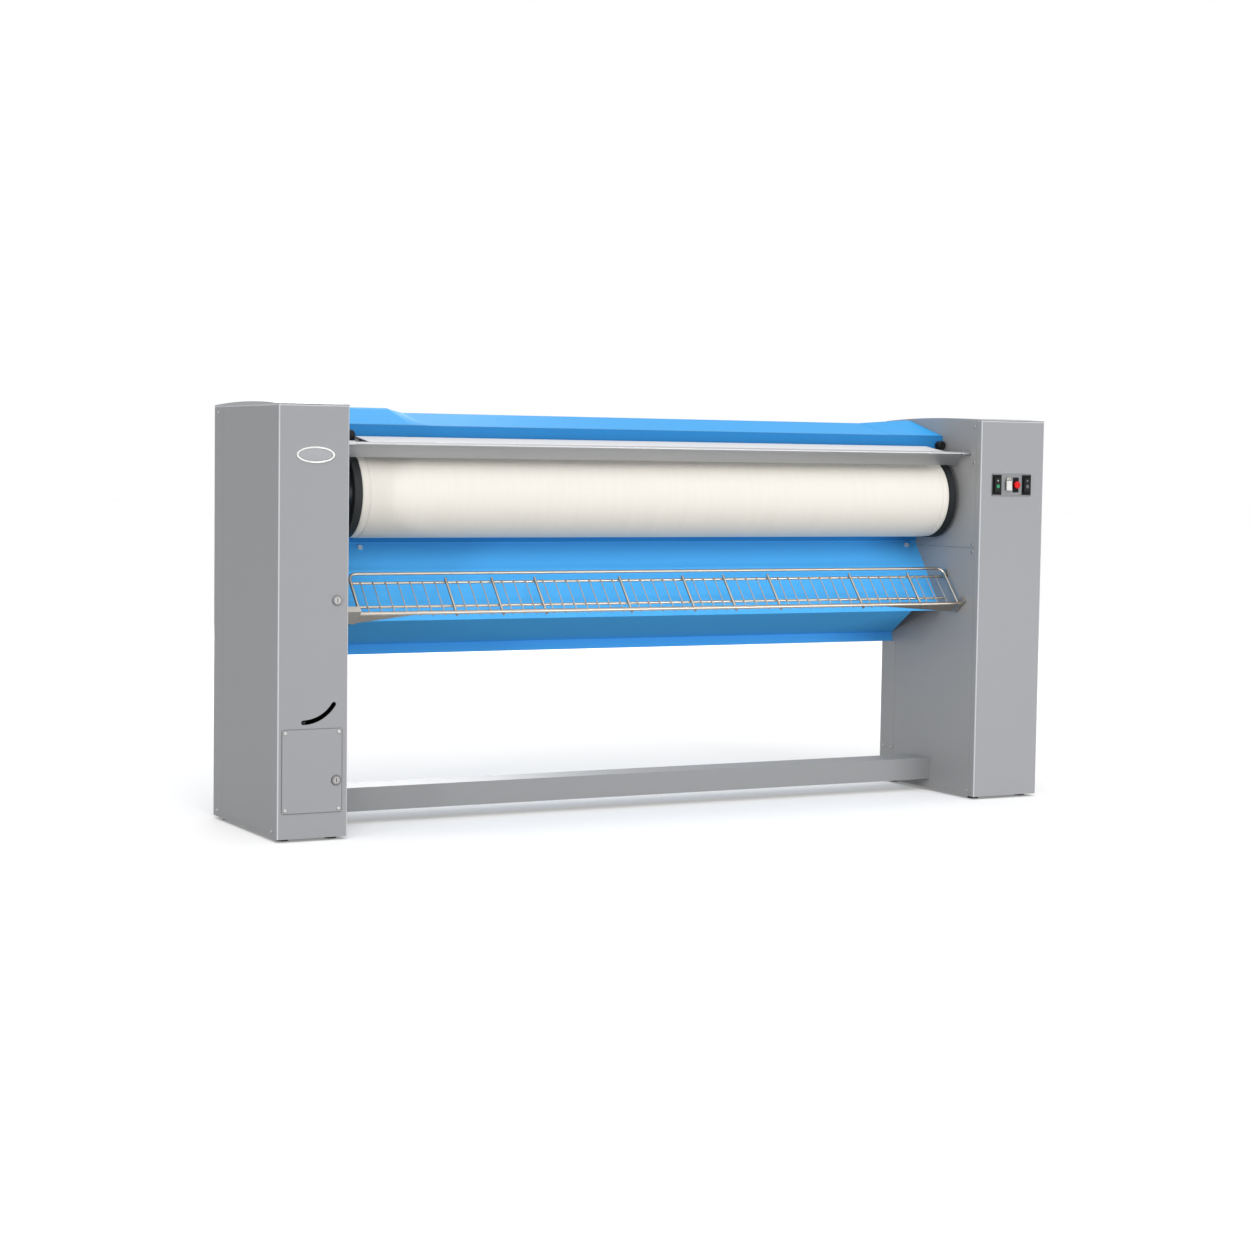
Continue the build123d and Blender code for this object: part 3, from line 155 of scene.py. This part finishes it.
def within(distance, reach, sharpness):
    """Mask that is 1 up to a reach and fades to 0 past it, sooner the sharper it is."""
    return (1.0 - (distance - reach) * sharpness).clamped()


def dress(finish, *names):
    """Give CAD nodes one finish."""
    for name in names:
        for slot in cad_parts[name].material_slots:
            slot.material = finish.material


def powder_coat(name, colour, roughness=0.42, cloud=0.03, gloss=0.5):
    """Satin paint with a fine grain and faint clouds of a darker and a lighter tone."""
    grain_scale = 1400.0
    grain_height = 0.00012
    cloud_scale = 1.6
    roughness_by_grain = 0.08
    roughness_by_cloud = 0.05
    finish = Finish(name, IOR=1.5, Specular_IOR_Level=gloss)
    grain = finish.noise(grain_scale, detail=1.0)
    clouds = finish.noise(cloud_scale, detail=3.0)
    mottle = clouds * 0.8 + grain * 0.2
    finish.set("Base Color", finish.blend(mottle, shade(colour, 1 - cloud), shade(colour, 1 + cloud)))
    finish.set("Roughness", roughness + roughness_by_grain * grain + roughness_by_cloud * clouds)
    finish.bump(grain, grain_height, strength=0.35)
    return finish


# Painted highlight: a lighter tone along the covers' front corner bends and their top edge.
highlight_reach = 0.0024
return_reach = 0.002
painted_light_sharpness = 1500.0
casing_colour = tint(136, 137, 140)
bend_highlight_colour = shade(casing_colour, 1.9)
# Painted light: the inner panels and the covers' inner returns take a lighter copy of the casing paint for
# their shaded sides.
inner_painted_light_colour = tint(158, 158, 158)
casing = powder_coat("casing_grey", casing_colour)
across, depth, height = casing.axes()

inner_returns = (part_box("left_cover")[1][0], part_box("right_cover")[0][0])
# Painted light: each cover's inner return takes the inner panels' lighter tone.
for inner_return in inner_returns:
    casing.overlay(within((across - inner_return).size(), return_reach, painted_light_sharpness), inner_painted_light_colour)

# Painted highlight laid on the front corner bends and the top edge.
side_bends = [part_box(name)[end][0] for name in ("left_cover", "right_cover") for end in (0, 1)]
to_side = (across - side_bends[0]).size()
for bend in side_bends[1:]:
    to_side = to_side.least((across - bend).size())
to_corner = to_side.most((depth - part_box("left_cover")[0][1]).size())
to_top = (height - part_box("left_cover")[1][2]).size()
casing.overlay(within(to_corner.least(to_top), highlight_reach, painted_light_sharpness), bend_highlight_colour)
dress(casing, "left_cover", "right_cover", "left_rear_cover", "right_rear_cover")

# Painted shade: a dark line along the access plate's edge, where shade falls at its joint.
edge_shade_reach = 0.0012
edge_shade_sharpness = 900.0
edge_shade_colour = shade(casing_colour, 0.45)
access = powder_coat("access_plate_grey", casing_colour)
across, _, height = access.axes()
low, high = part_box("access_plate")
to_edge = (across - low[0]).least(high[0] - across).least(height - low[2]).least(high[2] - height)
access.overlay(within(to_edge, edge_shade_reach, edge_shade_sharpness), edge_shade_colour)
dress(access, "access_plate")

dress(powder_coat("beam_grey", tint(126, 127, 129)), "stretcher_beam")
# The inner panels wear the lighter copy of the casing paint, painted light.
dress(powder_coat("inner_panel_painted_light_grey", inner_painted_light_colour), "left_inner_panel", "right_upper_inner_panel",
      "right_lower_inner_panel")
# Painted light: the top caps take a lighter copy of the casing paint.
dress(powder_coat("casing_top", tint(158, 159, 162)), "left_top_cap", "right_top_cap")


# ---------------------------------------------------------------- screws, locks and badge
# Zinc screws hold the sheets. Two quarter-turn locks and an oval rim are set in the left front;
# a dark block, painted shade, fills each lock plug's keyway, and the rim holds a plain grey field.
def metal(name, colour, roughness, brush=(1, 1, 1), contrast=0.08, scale=90.0):
    """Bare metal, even, or brushed along the axis on which its brush value is small."""
    line_height = 0.00004
    roughness_spread = 0.12
    finish = Finish(name, Metallic=1.0)
    lines = finish.noise(scale, detail=3.0, stretch=brush)
    finish.set("Base Color", finish.blend(lines, shade(colour, 1 - contrast), shade(colour, 1 + contrast)))
    finish.set("Roughness", roughness - roughness_spread / 2 + roughness_spread * lines)
    finish.bump(lines, line_height, strength=0.4)
    return finish


dress(metal("bezel_steel", tint(104, 104, 106), roughness=0.36), "lock_bezels")
dress(metal("lock_steel", tint(140, 139, 137), roughness=0.42), "upper_lock_plug", "lower_lock_plug")
dress(metal("screw_zinc", tint(164, 163, 161), roughness=0.45), "casing_screws")
dress(metal("dome_screw_zinc", tint(238, 237, 234), roughness=0.7), "apron_screws")
dress(metal("badge_rim", tint(214, 214, 212), roughness=0.2), "badge_frame")


def moulding(name, colour, roughness, spread, grain_scale, **constants):
    """Dark rubber or plastic of one colour, whose roughness varies by a spread."""
    finish = Finish(name, Base_Color=(*colour, 1), **constants)
    finish.set("Roughness", roughness + spread * finish.noise(grain_scale))
    return finish


def piece(name, mesh, finish, body, smooth=35.0):
    """Turn a finished bmesh into a piece of the machine."""
    bmesh.ops.recalc_face_normals(mesh, faces=mesh.faces)
    data = bpy.data.meshes.new(name)
    mesh.to_mesh(data)
    mesh.free()
    data.materials.append(finish.material)
    result = bpy.data.objects.new(name, data)
    bpy.context.scene.collection.objects.link(result)
    data.shade_smooth()
    data.set_sharp_from_angle(angle=radians(smooth))
    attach(result, body)
    return result


def bevelled(mesh, width, segments=2, edges=None):
    bmesh.ops.bevel(mesh, geom=edges or mesh.edges[:], offset=width, offset_type="OFFSET",
                    segments=segments, profile=0.5, affect="EDGES", material=-1)


def bar(low, high, round_edge):
    """Box between two corners, with rounded edges."""
    mesh = bmesh.new()
    size = [b - a for a, b in zip(low, high)]
    middle = [(a + b) / 2 for a, b in zip(low, high)]
    bmesh.ops.create_cube(mesh, size=1.0, matrix=Matrix.Translation(middle) @ Matrix.Diagonal((*size, 1)))
    bevelled(mesh, round_edge)
    return mesh


def disc(centre, radius, thick, round_edge, stretch=(1, 1, 1)):
    """Short turned piece that faces the front, or an oval one when it is stretched."""
    mesh = bmesh.new()
    place = Matrix.Translation(centre) @ Matrix.Diagonal((*stretch, 1)) @ Matrix.Rotation(pi / 2, 4, "X")
    bmesh.ops.create_cone(mesh, cap_ends=True, segments=40, radius1=radius, radius2=radius, depth=thick,
                          matrix=place)
    rims = [edge for edge in mesh.edges if any(len(face.verts) > 4 for face in edge.link_faces)]
    bevelled(mesh, round_edge, segments=3, edges=rims)
    return mesh


plug_radius = 0.008
slit_half_width = 0.0012
slit_half_height = 0.0052
slit_front = 0.0004
slit_back = 0.0026
slit_round = 0.0003
# Painted shade: a dark block sits in each lock plug's keyway slot.
keyhole_shade_finish = moulding("keyhole_painted_shade", (0.012, 0.012, 0.013), roughness=0.5, spread=0.2, grain_scale=600.0)
for level in ("upper", "lower"):
    low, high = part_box(f"{level}_lock_plug")
    centre_x = low[0] + plug_radius
    centre_z = (low[2] + high[2]) / 2
    slit = bar((centre_x - slit_half_width, low[1] + slit_front, centre_z - slit_half_height),
               (centre_x + slit_half_width, low[1] + slit_back, centre_z + slit_half_height), slit_round)
    piece(f"{level}_lock_keyhole_shade_block", slit, keyhole_shade_finish, f"{level}_lock")

rim_width = 0.0045
field_sunk = 0.0006
field_thick = 0.0009
field_round = 0.0002
low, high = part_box("badge_frame")
field_centre = ((low[0] + high[0]) / 2, high[1] - field_sunk, (low[2] + high[2]) / 2)
field_half = ((high[0] - low[0]) / 2 - rim_width, (high[2] - low[2]) / 2 - rim_width)
field = disc(field_centre, 1.0, field_thick, field_round, stretch=(field_half[0], 1, field_half[1]))
piece("badge_field", field, powder_coat("badge_grey", tint(148, 149, 152)), "machine_frame")

# ---------------------------------------------------------------- feet and floor trays
# Black rubber levelling pads carry the pedestals. The base trays, the side frames and the arms
# and brackets that they carry are structural steel in grey primer.
dress(moulding("foot_rubber", (0.018, 0.018, 0.019), roughness=0.62, spread=0.15, grain_scale=500.0),
      "levelling_feet")
dress(powder_coat("primed_steel", tint(92, 94, 97), roughness=0.55, cloud=0.08), "pedestal_bases",
      "left_side_frame", "right_side_frame", "motor_stand", "chest_arms", "release_brackets",
      "hood_catches", "table_brackets")


# ---------------------------------------------------------------- roller
# A steel tube with end discs and stubs, wrapped in springy padding under a woven cover.
# The cover is drawn over the padding's edges and hemmed a finger's width in from each end.
def spun(corners, centre, axis, steps, closed=False):
    """Shell that a line of points makes in one turn round an axis."""
    mesh = bmesh.new()
    points = [mesh.verts.new(corner) for corner in corners]
    ends = points[1:] + points[:1] if closed else points[1:]
    line = [mesh.edges.new(pair) for pair in zip(points, ends)]
    bmesh.ops.spin(mesh, geom=points + line, cent=centre, axis=axis, angle=2 * pi, steps=steps,
                   use_merge=True)
    bmesh.ops.remove_doubles(mesh, verts=mesh.verts, dist=1e-6)
    return mesh


low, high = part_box("roller_padding")
axis_y = (low[1] + high[1]) / 2
axis_z = (low[2] + high[2]) / 2
cover_inset = 0.0002
cover_radius = (high[2] - low[2]) / 2 - cover_inset
edge_round = 0.006
edge_steps = 6
hem_width = 0.021
hem_step = 0.0009
seam_lead = 0.001
seam_rise = 0.0015
seam_end = 0.004
thread_pitch = 0.0016
threads_round = round(2 * pi * cover_radius / thread_pitch)

cloth = Finish("ironing_cloth", Roughness=0.86, Sheen_Weight=0.12, Sheen_Roughness=0.5, IOR=1.4)
along, depth, height = cloth.axes()
turned = cloth.node("ShaderNodeMath", {"operation": "ARCTAN2"}, {0: height - axis_z, 1: depth - axis_y})
weft = (turned * threads_round).sine()
warp = (along * (2 * pi / thread_pitch)).sine()
slub = cloth.noise(60.0, detail=3.0, stretch=(1.0, 0.12, 0.12))
ribs = cloth.noise(220.0, stretch=(1.0, 0.02, 0.02))
weave = 0.5 + 0.25 * (weft * warp) + 0.2 * (ribs - 0.5)
thread_tone = (0.55 * weave + 0.45 * slub).clamped()
cloth.set("Base Color", cloth.blend(thread_tone, tint(211, 207, 198), tint(225, 221, 213)))
cloth.bump(weave + 0.6 * slub, distance=0.0003, strength=0.5)

hem_radius = cover_radius - hem_step
hem_end = low[0] + hem_width
profile = [(low[0] + cover_inset, cover_radius - edge_round)]
for step in range(edge_steps + 1):
    turn = pi / 2 * step / edge_steps
    profile.append((low[0] + edge_round * (1 - cos(turn)), hem_radius + edge_round * (sin(turn) - 1)))
profile += [(hem_end - seam_lead, hem_radius), (hem_end, hem_radius - hem_step),
            (hem_end + seam_rise, cover_radius - 0.4 * hem_step), (hem_end + seam_end, cover_radius)]
span_middle = (low[0] + high[0]) / 2
quarter = (span_middle + profile[-1][0]) / 2
profile += [(quarter, cover_radius), (span_middle, cover_radius)]
profile += [(low[0] + high[0] - x, radius) for x, radius in profile[-2::-1]]
corners = [(x, axis_y, axis_z + radius) for x, radius in profile]
sleeve = spun(corners, (0, axis_y, axis_z), (1, 0, 0), steps=128)
roller_cover = piece("roller_cover", sleeve, cloth, "roller", smooth=60.0)
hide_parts("roller_padding")

dress(metal("turned_steel", tint(176, 178, 180), roughness=0.3, contrast=0.05, scale=30.0),
      "roller_tube")
ring = Finish("end_ring_black", IOR=1.48, Specular_IOR_Level=0.3)
dust = ring.noise(35.0, detail=4.0)
ring.set("Base Color", ring.blend(dust, tint(20, 23, 25), tint(33, 37, 39)))
ring.set("Roughness", 0.5 + 0.2 * dust)
dress(ring, "roller_end_rings")
dress(powder_coat("cast_iron_paint", tint(66, 68, 70), roughness=0.6, cloud=0.15), "roller_bearings")

# ---------------------------------------------------------------- drive
# The gearmotor stands in the left pedestal and turns the roller through a chain on two sprockets.
# Its castings are enamelled; the chain and the sprockets are bare oiled steel.
dress(powder_coat("machine_enamel", tint(52, 60, 68), roughness=0.4, cloud=0.06), "gearmotor")
dress(metal("oiled_steel", tint(92, 88, 84), roughness=0.34, contrast=0.2, scale=140.0),
      "motor_sprocket", "roller_sprocket", "drive_chain")

# ---------------------------------------------------------------- heated chest
# A polished aluminium trough with cartridge elements hugs the roller's rear half.
# It hangs on arms that swing on pins in the side frames, pressed by coil springs.
dress(metal("polished_aluminium", tint(214, 215, 216), roughness=0.18, brush=(0.05, 1, 1),
            contrast=0.05), "chest")
dress(metal("element_sheath", tint(122, 112, 102), roughness=0.38, brush=(0.1, 1, 1),
            contrast=0.25), "heating_elements")
dress(metal("bright_steel", tint(190, 189, 186), roughness=0.26), "chest_pivot_pins", "push_rod",
      "hood_hinge_pin")
dress(metal("blackened_steel", tint(38, 38, 40), roughness=0.55), "release_lever")
dress(metal("spring_steel", tint(128, 128, 130), roughness=0.3), "press_springs")

# ---------------------------------------------------------------- hood, rear panel and apron
# Sheet steel with a bright blue satin coat: the hinged hood with its raised end caps, the rear
# panel that carries the hinge, and the folded apron under the roller.
# Painted shade: the hood's front strip, up to its fold, is painted a darker blue.
hood_shade_strip = 0.010
hood_shade_fade = 250.0
hood_paint = powder_coat("hood_blue", tint(50, 157, 224), roughness=0.46, cloud=0.025, gloss=0.15)
depth = hood_paint.axes()[1]
fold_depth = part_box("hood")[0][1] + hood_shade_strip
hood_paint.overlay(within(depth, fold_depth, hood_shade_fade), tint(33, 110, 168))
dress(hood_paint, "hood", "hood_end_caps", "rear_panel")

# Painted shade: the apron's strip above its upper fold, under the roller, is painted a darker blue.
apron_shade_strip = 0.022
apron_shade_sharpness = 1500.0
# Painted light: the apron takes a lighter copy of the hood's blue.
apron_paint = powder_coat("apron_painted_light_blue", tint(86, 178, 243), roughness=0.46, cloud=0.025, gloss=0.0)
height = apron_paint.axes()[2]
upper_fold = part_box("apron")[1][2] - apron_shade_strip
apron_paint.overlay(((height - upper_fold) * apron_shade_sharpness).clamped(), tint(52, 132, 196))
dress(apron_paint, "apron")

# ---------------------------------------------------------------- clamping knobs
# Two moulded black knobs with a ribbed rim; each turns a screw that clamps one end of the hood
# down on its catch.
dress(moulding("knob_plastic", (0.008, 0.008, 0.009), roughness=0.38, spread=0.2, grain_scale=300.0,
               IOR=1.46, Specular_IOR_Level=0.2), "left_hood_knob", "right_hood_knob")

# ---------------------------------------------------------------- feed table and finger guard
# Folded stainless sheet, brushed along the roller: the table, the guard that tilts on its pivots
# at the table's edge, and the plate that the switches are set in.
brushed = {"brush": (0.02, 1, 1), "scale": 160.0}
dress(metal("brushed_stainless", tint(168, 169, 171), roughness=0.42, contrast=0.05, **brushed),
      "finger_guard", "guard_pivots")
dress(metal("plate_stainless", tint(112, 113, 115), roughness=0.55, contrast=0.04, **brushed),
      "control_plate")
dress(metal("table_stainless", tint(214, 213, 213), roughness=0.5, contrast=0.03, **brushed),
      "feed_table")

# ---------------------------------------------------------------- linen rack
# Electropolished stainless rod and wire with a warm cast, welded at every crossing. The rack
# turns in two lugs and leans on two studs, which have a duller finish.
dress(metal("polished_wire", tint(172, 165, 156), roughness=0.3, contrast=0.06, scale=120.0),
      "linen_rack")
dress(metal("bracket_steel", tint(158, 154, 148), roughness=0.5, contrast=0.12, scale=120.0),
      "rack_brackets")


# ---------------------------------------------------------------- controls
# Two black rocker modules, a white start button and a red mushroom button on a stainless plate.
# All are moulded plastic; a painted box with a polyamide gland closes the wiring behind them.
def plastic(name, dark, light, roughness, spread=0.1, cloud_scale=80.0, **constants):
    """Coloured plastic whose tone and roughness vary a little."""
    grain_scale = 300.0
    finish = Finish(name, **constants)
    finish.set("Base Color", finish.blend(finish.noise(cloud_scale), dark, light))
    finish.set("Roughness", roughness + spread * finish.noise(grain_scale))
    return finish


dress(moulding("switch_plastic", (0.005, 0.0055, 0.006), roughness=0.42, spread=0.15, grain_scale=400.0,
               IOR=1.46, Specular_IOR_Level=0.1), "switch_frames")
dress(moulding("rocker_plastic", (0.007, 0.0075, 0.008), roughness=0.28, spread=0.12, grain_scale=400.0,
               IOR=1.46, Specular_IOR_Level=0.12), "mains_rocker", "heat_rocker")
dress(plastic("button_ivory", tint(188, 188, 185), tint(199, 199, 196), roughness=0.3, IOR=1.48),
      "start_button")
dress(plastic("button_red", tint(188, 10, 16), tint(202, 16, 20), roughness=0.25, IOR=1.48,
              Specular_IOR_Level=0.15), "stop_button")

lens_half_width = 0.0068
lens_height = 0.008
lens_proud = 0.0035
lens_gap = 0.0012
lens_round = 0.001
lens = plastic("lens_ivory", tint(146, 143, 136), tint(158, 155, 148), roughness=0.3, IOR=1.48)
low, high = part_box("start_button")
plate_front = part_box("control_plate")[0][1]
middle_x = (low[0] + high[0]) / 2
lens_low = high[2] + lens_gap
start_lens = bar((middle_x - lens_half_width, plate_front - lens_proud, lens_low),
                 (middle_x + lens_half_width, plate_front, lens_low + lens_height), lens_round)
piece("start_lens", start_lens, lens, "machine_frame")

green = Finish("symbol_green", Roughness=0.4)
green.set("Base Color", green.blend(green.noise(200.0), tint(14, 168, 104), tint(30, 192, 124)))
dim = Finish("symbol_grey", Roughness=0.45)
dim.set("Base Color", dim.blend(dim.noise(200.0), tint(92, 94, 96), tint(120, 122, 124)))


def symbol_ring(centre, outer, inner, thick):
    """Flat ring that stands on a switch's face."""
    profile = [(inner, 0.0), (inner, -thick), (outer, -thick), (outer, 0.0)]
    corners = [(centre[0] + radius, centre[1] + y, centre[2]) for radius, y in profile]
    return spun(corners, centre, (0, 1, 0), steps=32, closed=True)


print_root = 0.0002
dot_rise = 0.0115
dot_radius = 0.0024
dot_thick = 0.0008
dot_round = 0.0002
symbol_shift = 0.001
symbol_drop = 0.004
ring_outer = 0.0046
ring_inner = 0.0031
ring_thick = 0.0005
stroke_half_width = 0.0006
stroke_half_height = 0.0025
stroke_proud = 0.0004
stroke_round = 0.0001
for side, dot_finish, symbol_finish in (("mains", lens, green), ("heat", dim, dim)):
    rocker = f"{side}_rocker"
    low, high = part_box(rocker)
    face = low[1]
    middle_x = (low[0] + high[0]) / 2
    middle_z = (low[2] + high[2]) / 2
    symbol_x = middle_x + symbol_shift
    symbol_z = middle_z - symbol_drop
    dot_centre = (middle_x, face + print_root - dot_thick / 2, middle_z + dot_rise)
    dot = disc(dot_centre, dot_radius, dot_thick, dot_round)
    piece(f"{side}_dot", dot, dot_finish, rocker)
    circle = symbol_ring((symbol_x, face + print_root, symbol_z), ring_outer, ring_inner, ring_thick)
    piece(f"{side}_symbol", circle, symbol_finish, rocker)
    stroke = bar((symbol_x - stroke_half_width, face - stroke_proud, symbol_z - stroke_half_height),
                 (symbol_x + stroke_half_width, face + print_root, symbol_z + stroke_half_height),
                 stroke_round)
    piece(f"{side}_stroke", stroke, symbol_finish, rocker)

dress(powder_coat("enclosure_grey", tint(188, 188, 184), roughness=0.5, cloud=0.02), "control_box")
dress(plastic("gland_polyamide", tint(118, 120, 122), tint(132, 134, 136), roughness=0.5, spread=0.15,
              cloud_scale=120.0, IOR=1.46), "cable_gland")


# ---------------------------------------------------------------- studio
# Plain white floor and surroundings; the floor keeps the machine's soft shadow. Two broad suns
# and three softboxes light the machine, each given by its place, its aim and its power.
def seen_or_lit(tree, lit, seen):
    """Camera, mirror and clear rays meet the second surface, and all other light the first."""
    path = tree.nodes.new("ShaderNodeLightPath")
    factor = path.outputs["Is Camera Ray"]
    for kind in ("Is Glossy Ray", "Is Transmission Ray"):
        either = tree.nodes.new("ShaderNodeMath")
        either.operation = "MAXIMUM"
        tree.links.new(factor, either.inputs[0])
        tree.links.new(path.outputs[kind], either.inputs[1])
        factor = either.outputs[0]
    choice = tree.nodes.new("ShaderNodeMixShader")
    for socket, source in zip(choice.inputs, (factor, lit, seen)):
        tree.links.new(source, socket)
    return choice.outputs[0]


def plain_shader(tree, kind, grey, strength=None):
    """Output of a plain grey shader of the given kind."""
    shader = tree.nodes.new(kind)
    shader.inputs["Color"].default_value = (grey, grey, grey, 1)
    if strength is not None:
        shader.inputs["Strength"].default_value = strength
    return shader.outputs[0]


surround_lit = 0.3
surround_seen = 1.0
floor_lit = 0.42
floor_seen = 0.74
floor_glow = 0.22
floor_half = 40.0

bpy.context.scene.world = bpy.data.worlds.new("studio")
bpy.context.scene.world.use_nodes = True
sky = bpy.context.scene.world.node_tree
skies = [plain_shader(sky, "ShaderNodeBackground", 1.0, level) for level in (surround_lit, surround_seen)]
sky.links.new(seen_or_lit(sky, *skies), sky.nodes["World Output"].inputs["Surface"])

floor_mesh = bmesh.new()
bmesh.ops.create_grid(floor_mesh, x_segments=1, y_segments=1, size=floor_half)
floor_data = bpy.data.meshes.new("floor")
floor_mesh.to_mesh(floor_data)
floor_mesh.free()
floor = bpy.data.objects.new("floor", floor_data)
bpy.context.scene.collection.objects.link(floor)
ground = bpy.data.materials.new("studio_floor")
ground.use_nodes = True
paper = ground.node_tree
lit, seen = [plain_shader(paper, "ShaderNodeBsdfDiffuse", grey) for grey in (floor_lit, floor_seen)]
glow = plain_shader(paper, "ShaderNodeEmission", 1.0, floor_glow)
lifted = paper.nodes.new("ShaderNodeAddShader")
for socket, source in zip(lifted.inputs, (seen, glow)):
    paper.links.new(source, socket)
surface = paper.nodes["Material Output"].inputs["Surface"]
paper.links.new(seen_or_lit(paper, lit, lifted.outputs[0]), surface)
floor_data.materials.append(ground)


def lamp(name, kind, place, target, power, **settings):
    """Studio lamp aimed at a point."""
    light = bpy.data.lights.new(name, kind)
    light.energy = power
    for label, value in settings.items():
        setattr(light, label, value)
    holder = bpy.data.objects.new(name, light)
    bpy.context.scene.collection.objects.link(holder)
    holder.location = place
    holder.rotation_euler = (Vector(target) - Vector(place)).to_track_quat("-Z", "Y").to_euler()


lamp("overhead", "SUN", (0.0, -0.4, 4.5), (0, 0, 0), 1.2, angle=radians(60))
lamp("high_front", "SUN", (-1.1, -4.2, 2.8), (0, 0, 0), 2.15, angle=radians(50))
lamp("front_softbox", "AREA", (2.8, -5.2, 0.25), (0.3, 0, 0.5), 100, shape="RECTANGLE", size=2.6, size_y=0.5)
lamp("left_strip", "AREA", (-6.0, -3.3, 1.1), (-0.4, 0, 0.6), 92, shape="RECTANGLE", size=0.6, size_y=2.0)
lamp("rear_softbox", "AREA", (1.5, 6.5, 2.2), (0, 0.2, 0.5), 150, shape="SQUARE", size=2.4)

# ---------------------------------------------------------------- camera
# It stands to the left in front of the machine, about level with the finger guard. The lens is
# given by its focal length in picture points and the width of the picture in the same points.
eye = (-3.191, -5.8473, 0.9262)
yaw = radians(28.13)
pitch = radians(-3.80)
roll = radians(0.82)
focal_points = 2516.4
picture_points = 1250
sensor_width = 36.0
camera = bpy.data.objects.new("camera", bpy.data.cameras.new("camera"))
bpy.context.scene.collection.objects.link(camera)
camera.location = eye
facing = Vector((sin(yaw) * cos(pitch), cos(yaw) * cos(pitch), sin(pitch)))
camera.rotation_mode = "QUATERNION"
camera.rotation_quaternion = facing.to_track_quat("-Z", "Y") @ Quaternion((0, 0, 1), roll)
camera.data.sensor_width = sensor_width
camera.data.lens = focal_points / picture_points * sensor_width
camera.data.clip_end = 200.0
bpy.context.scene.camera = camera
bpy.context.scene.view_settings.view_transform = "Standard"
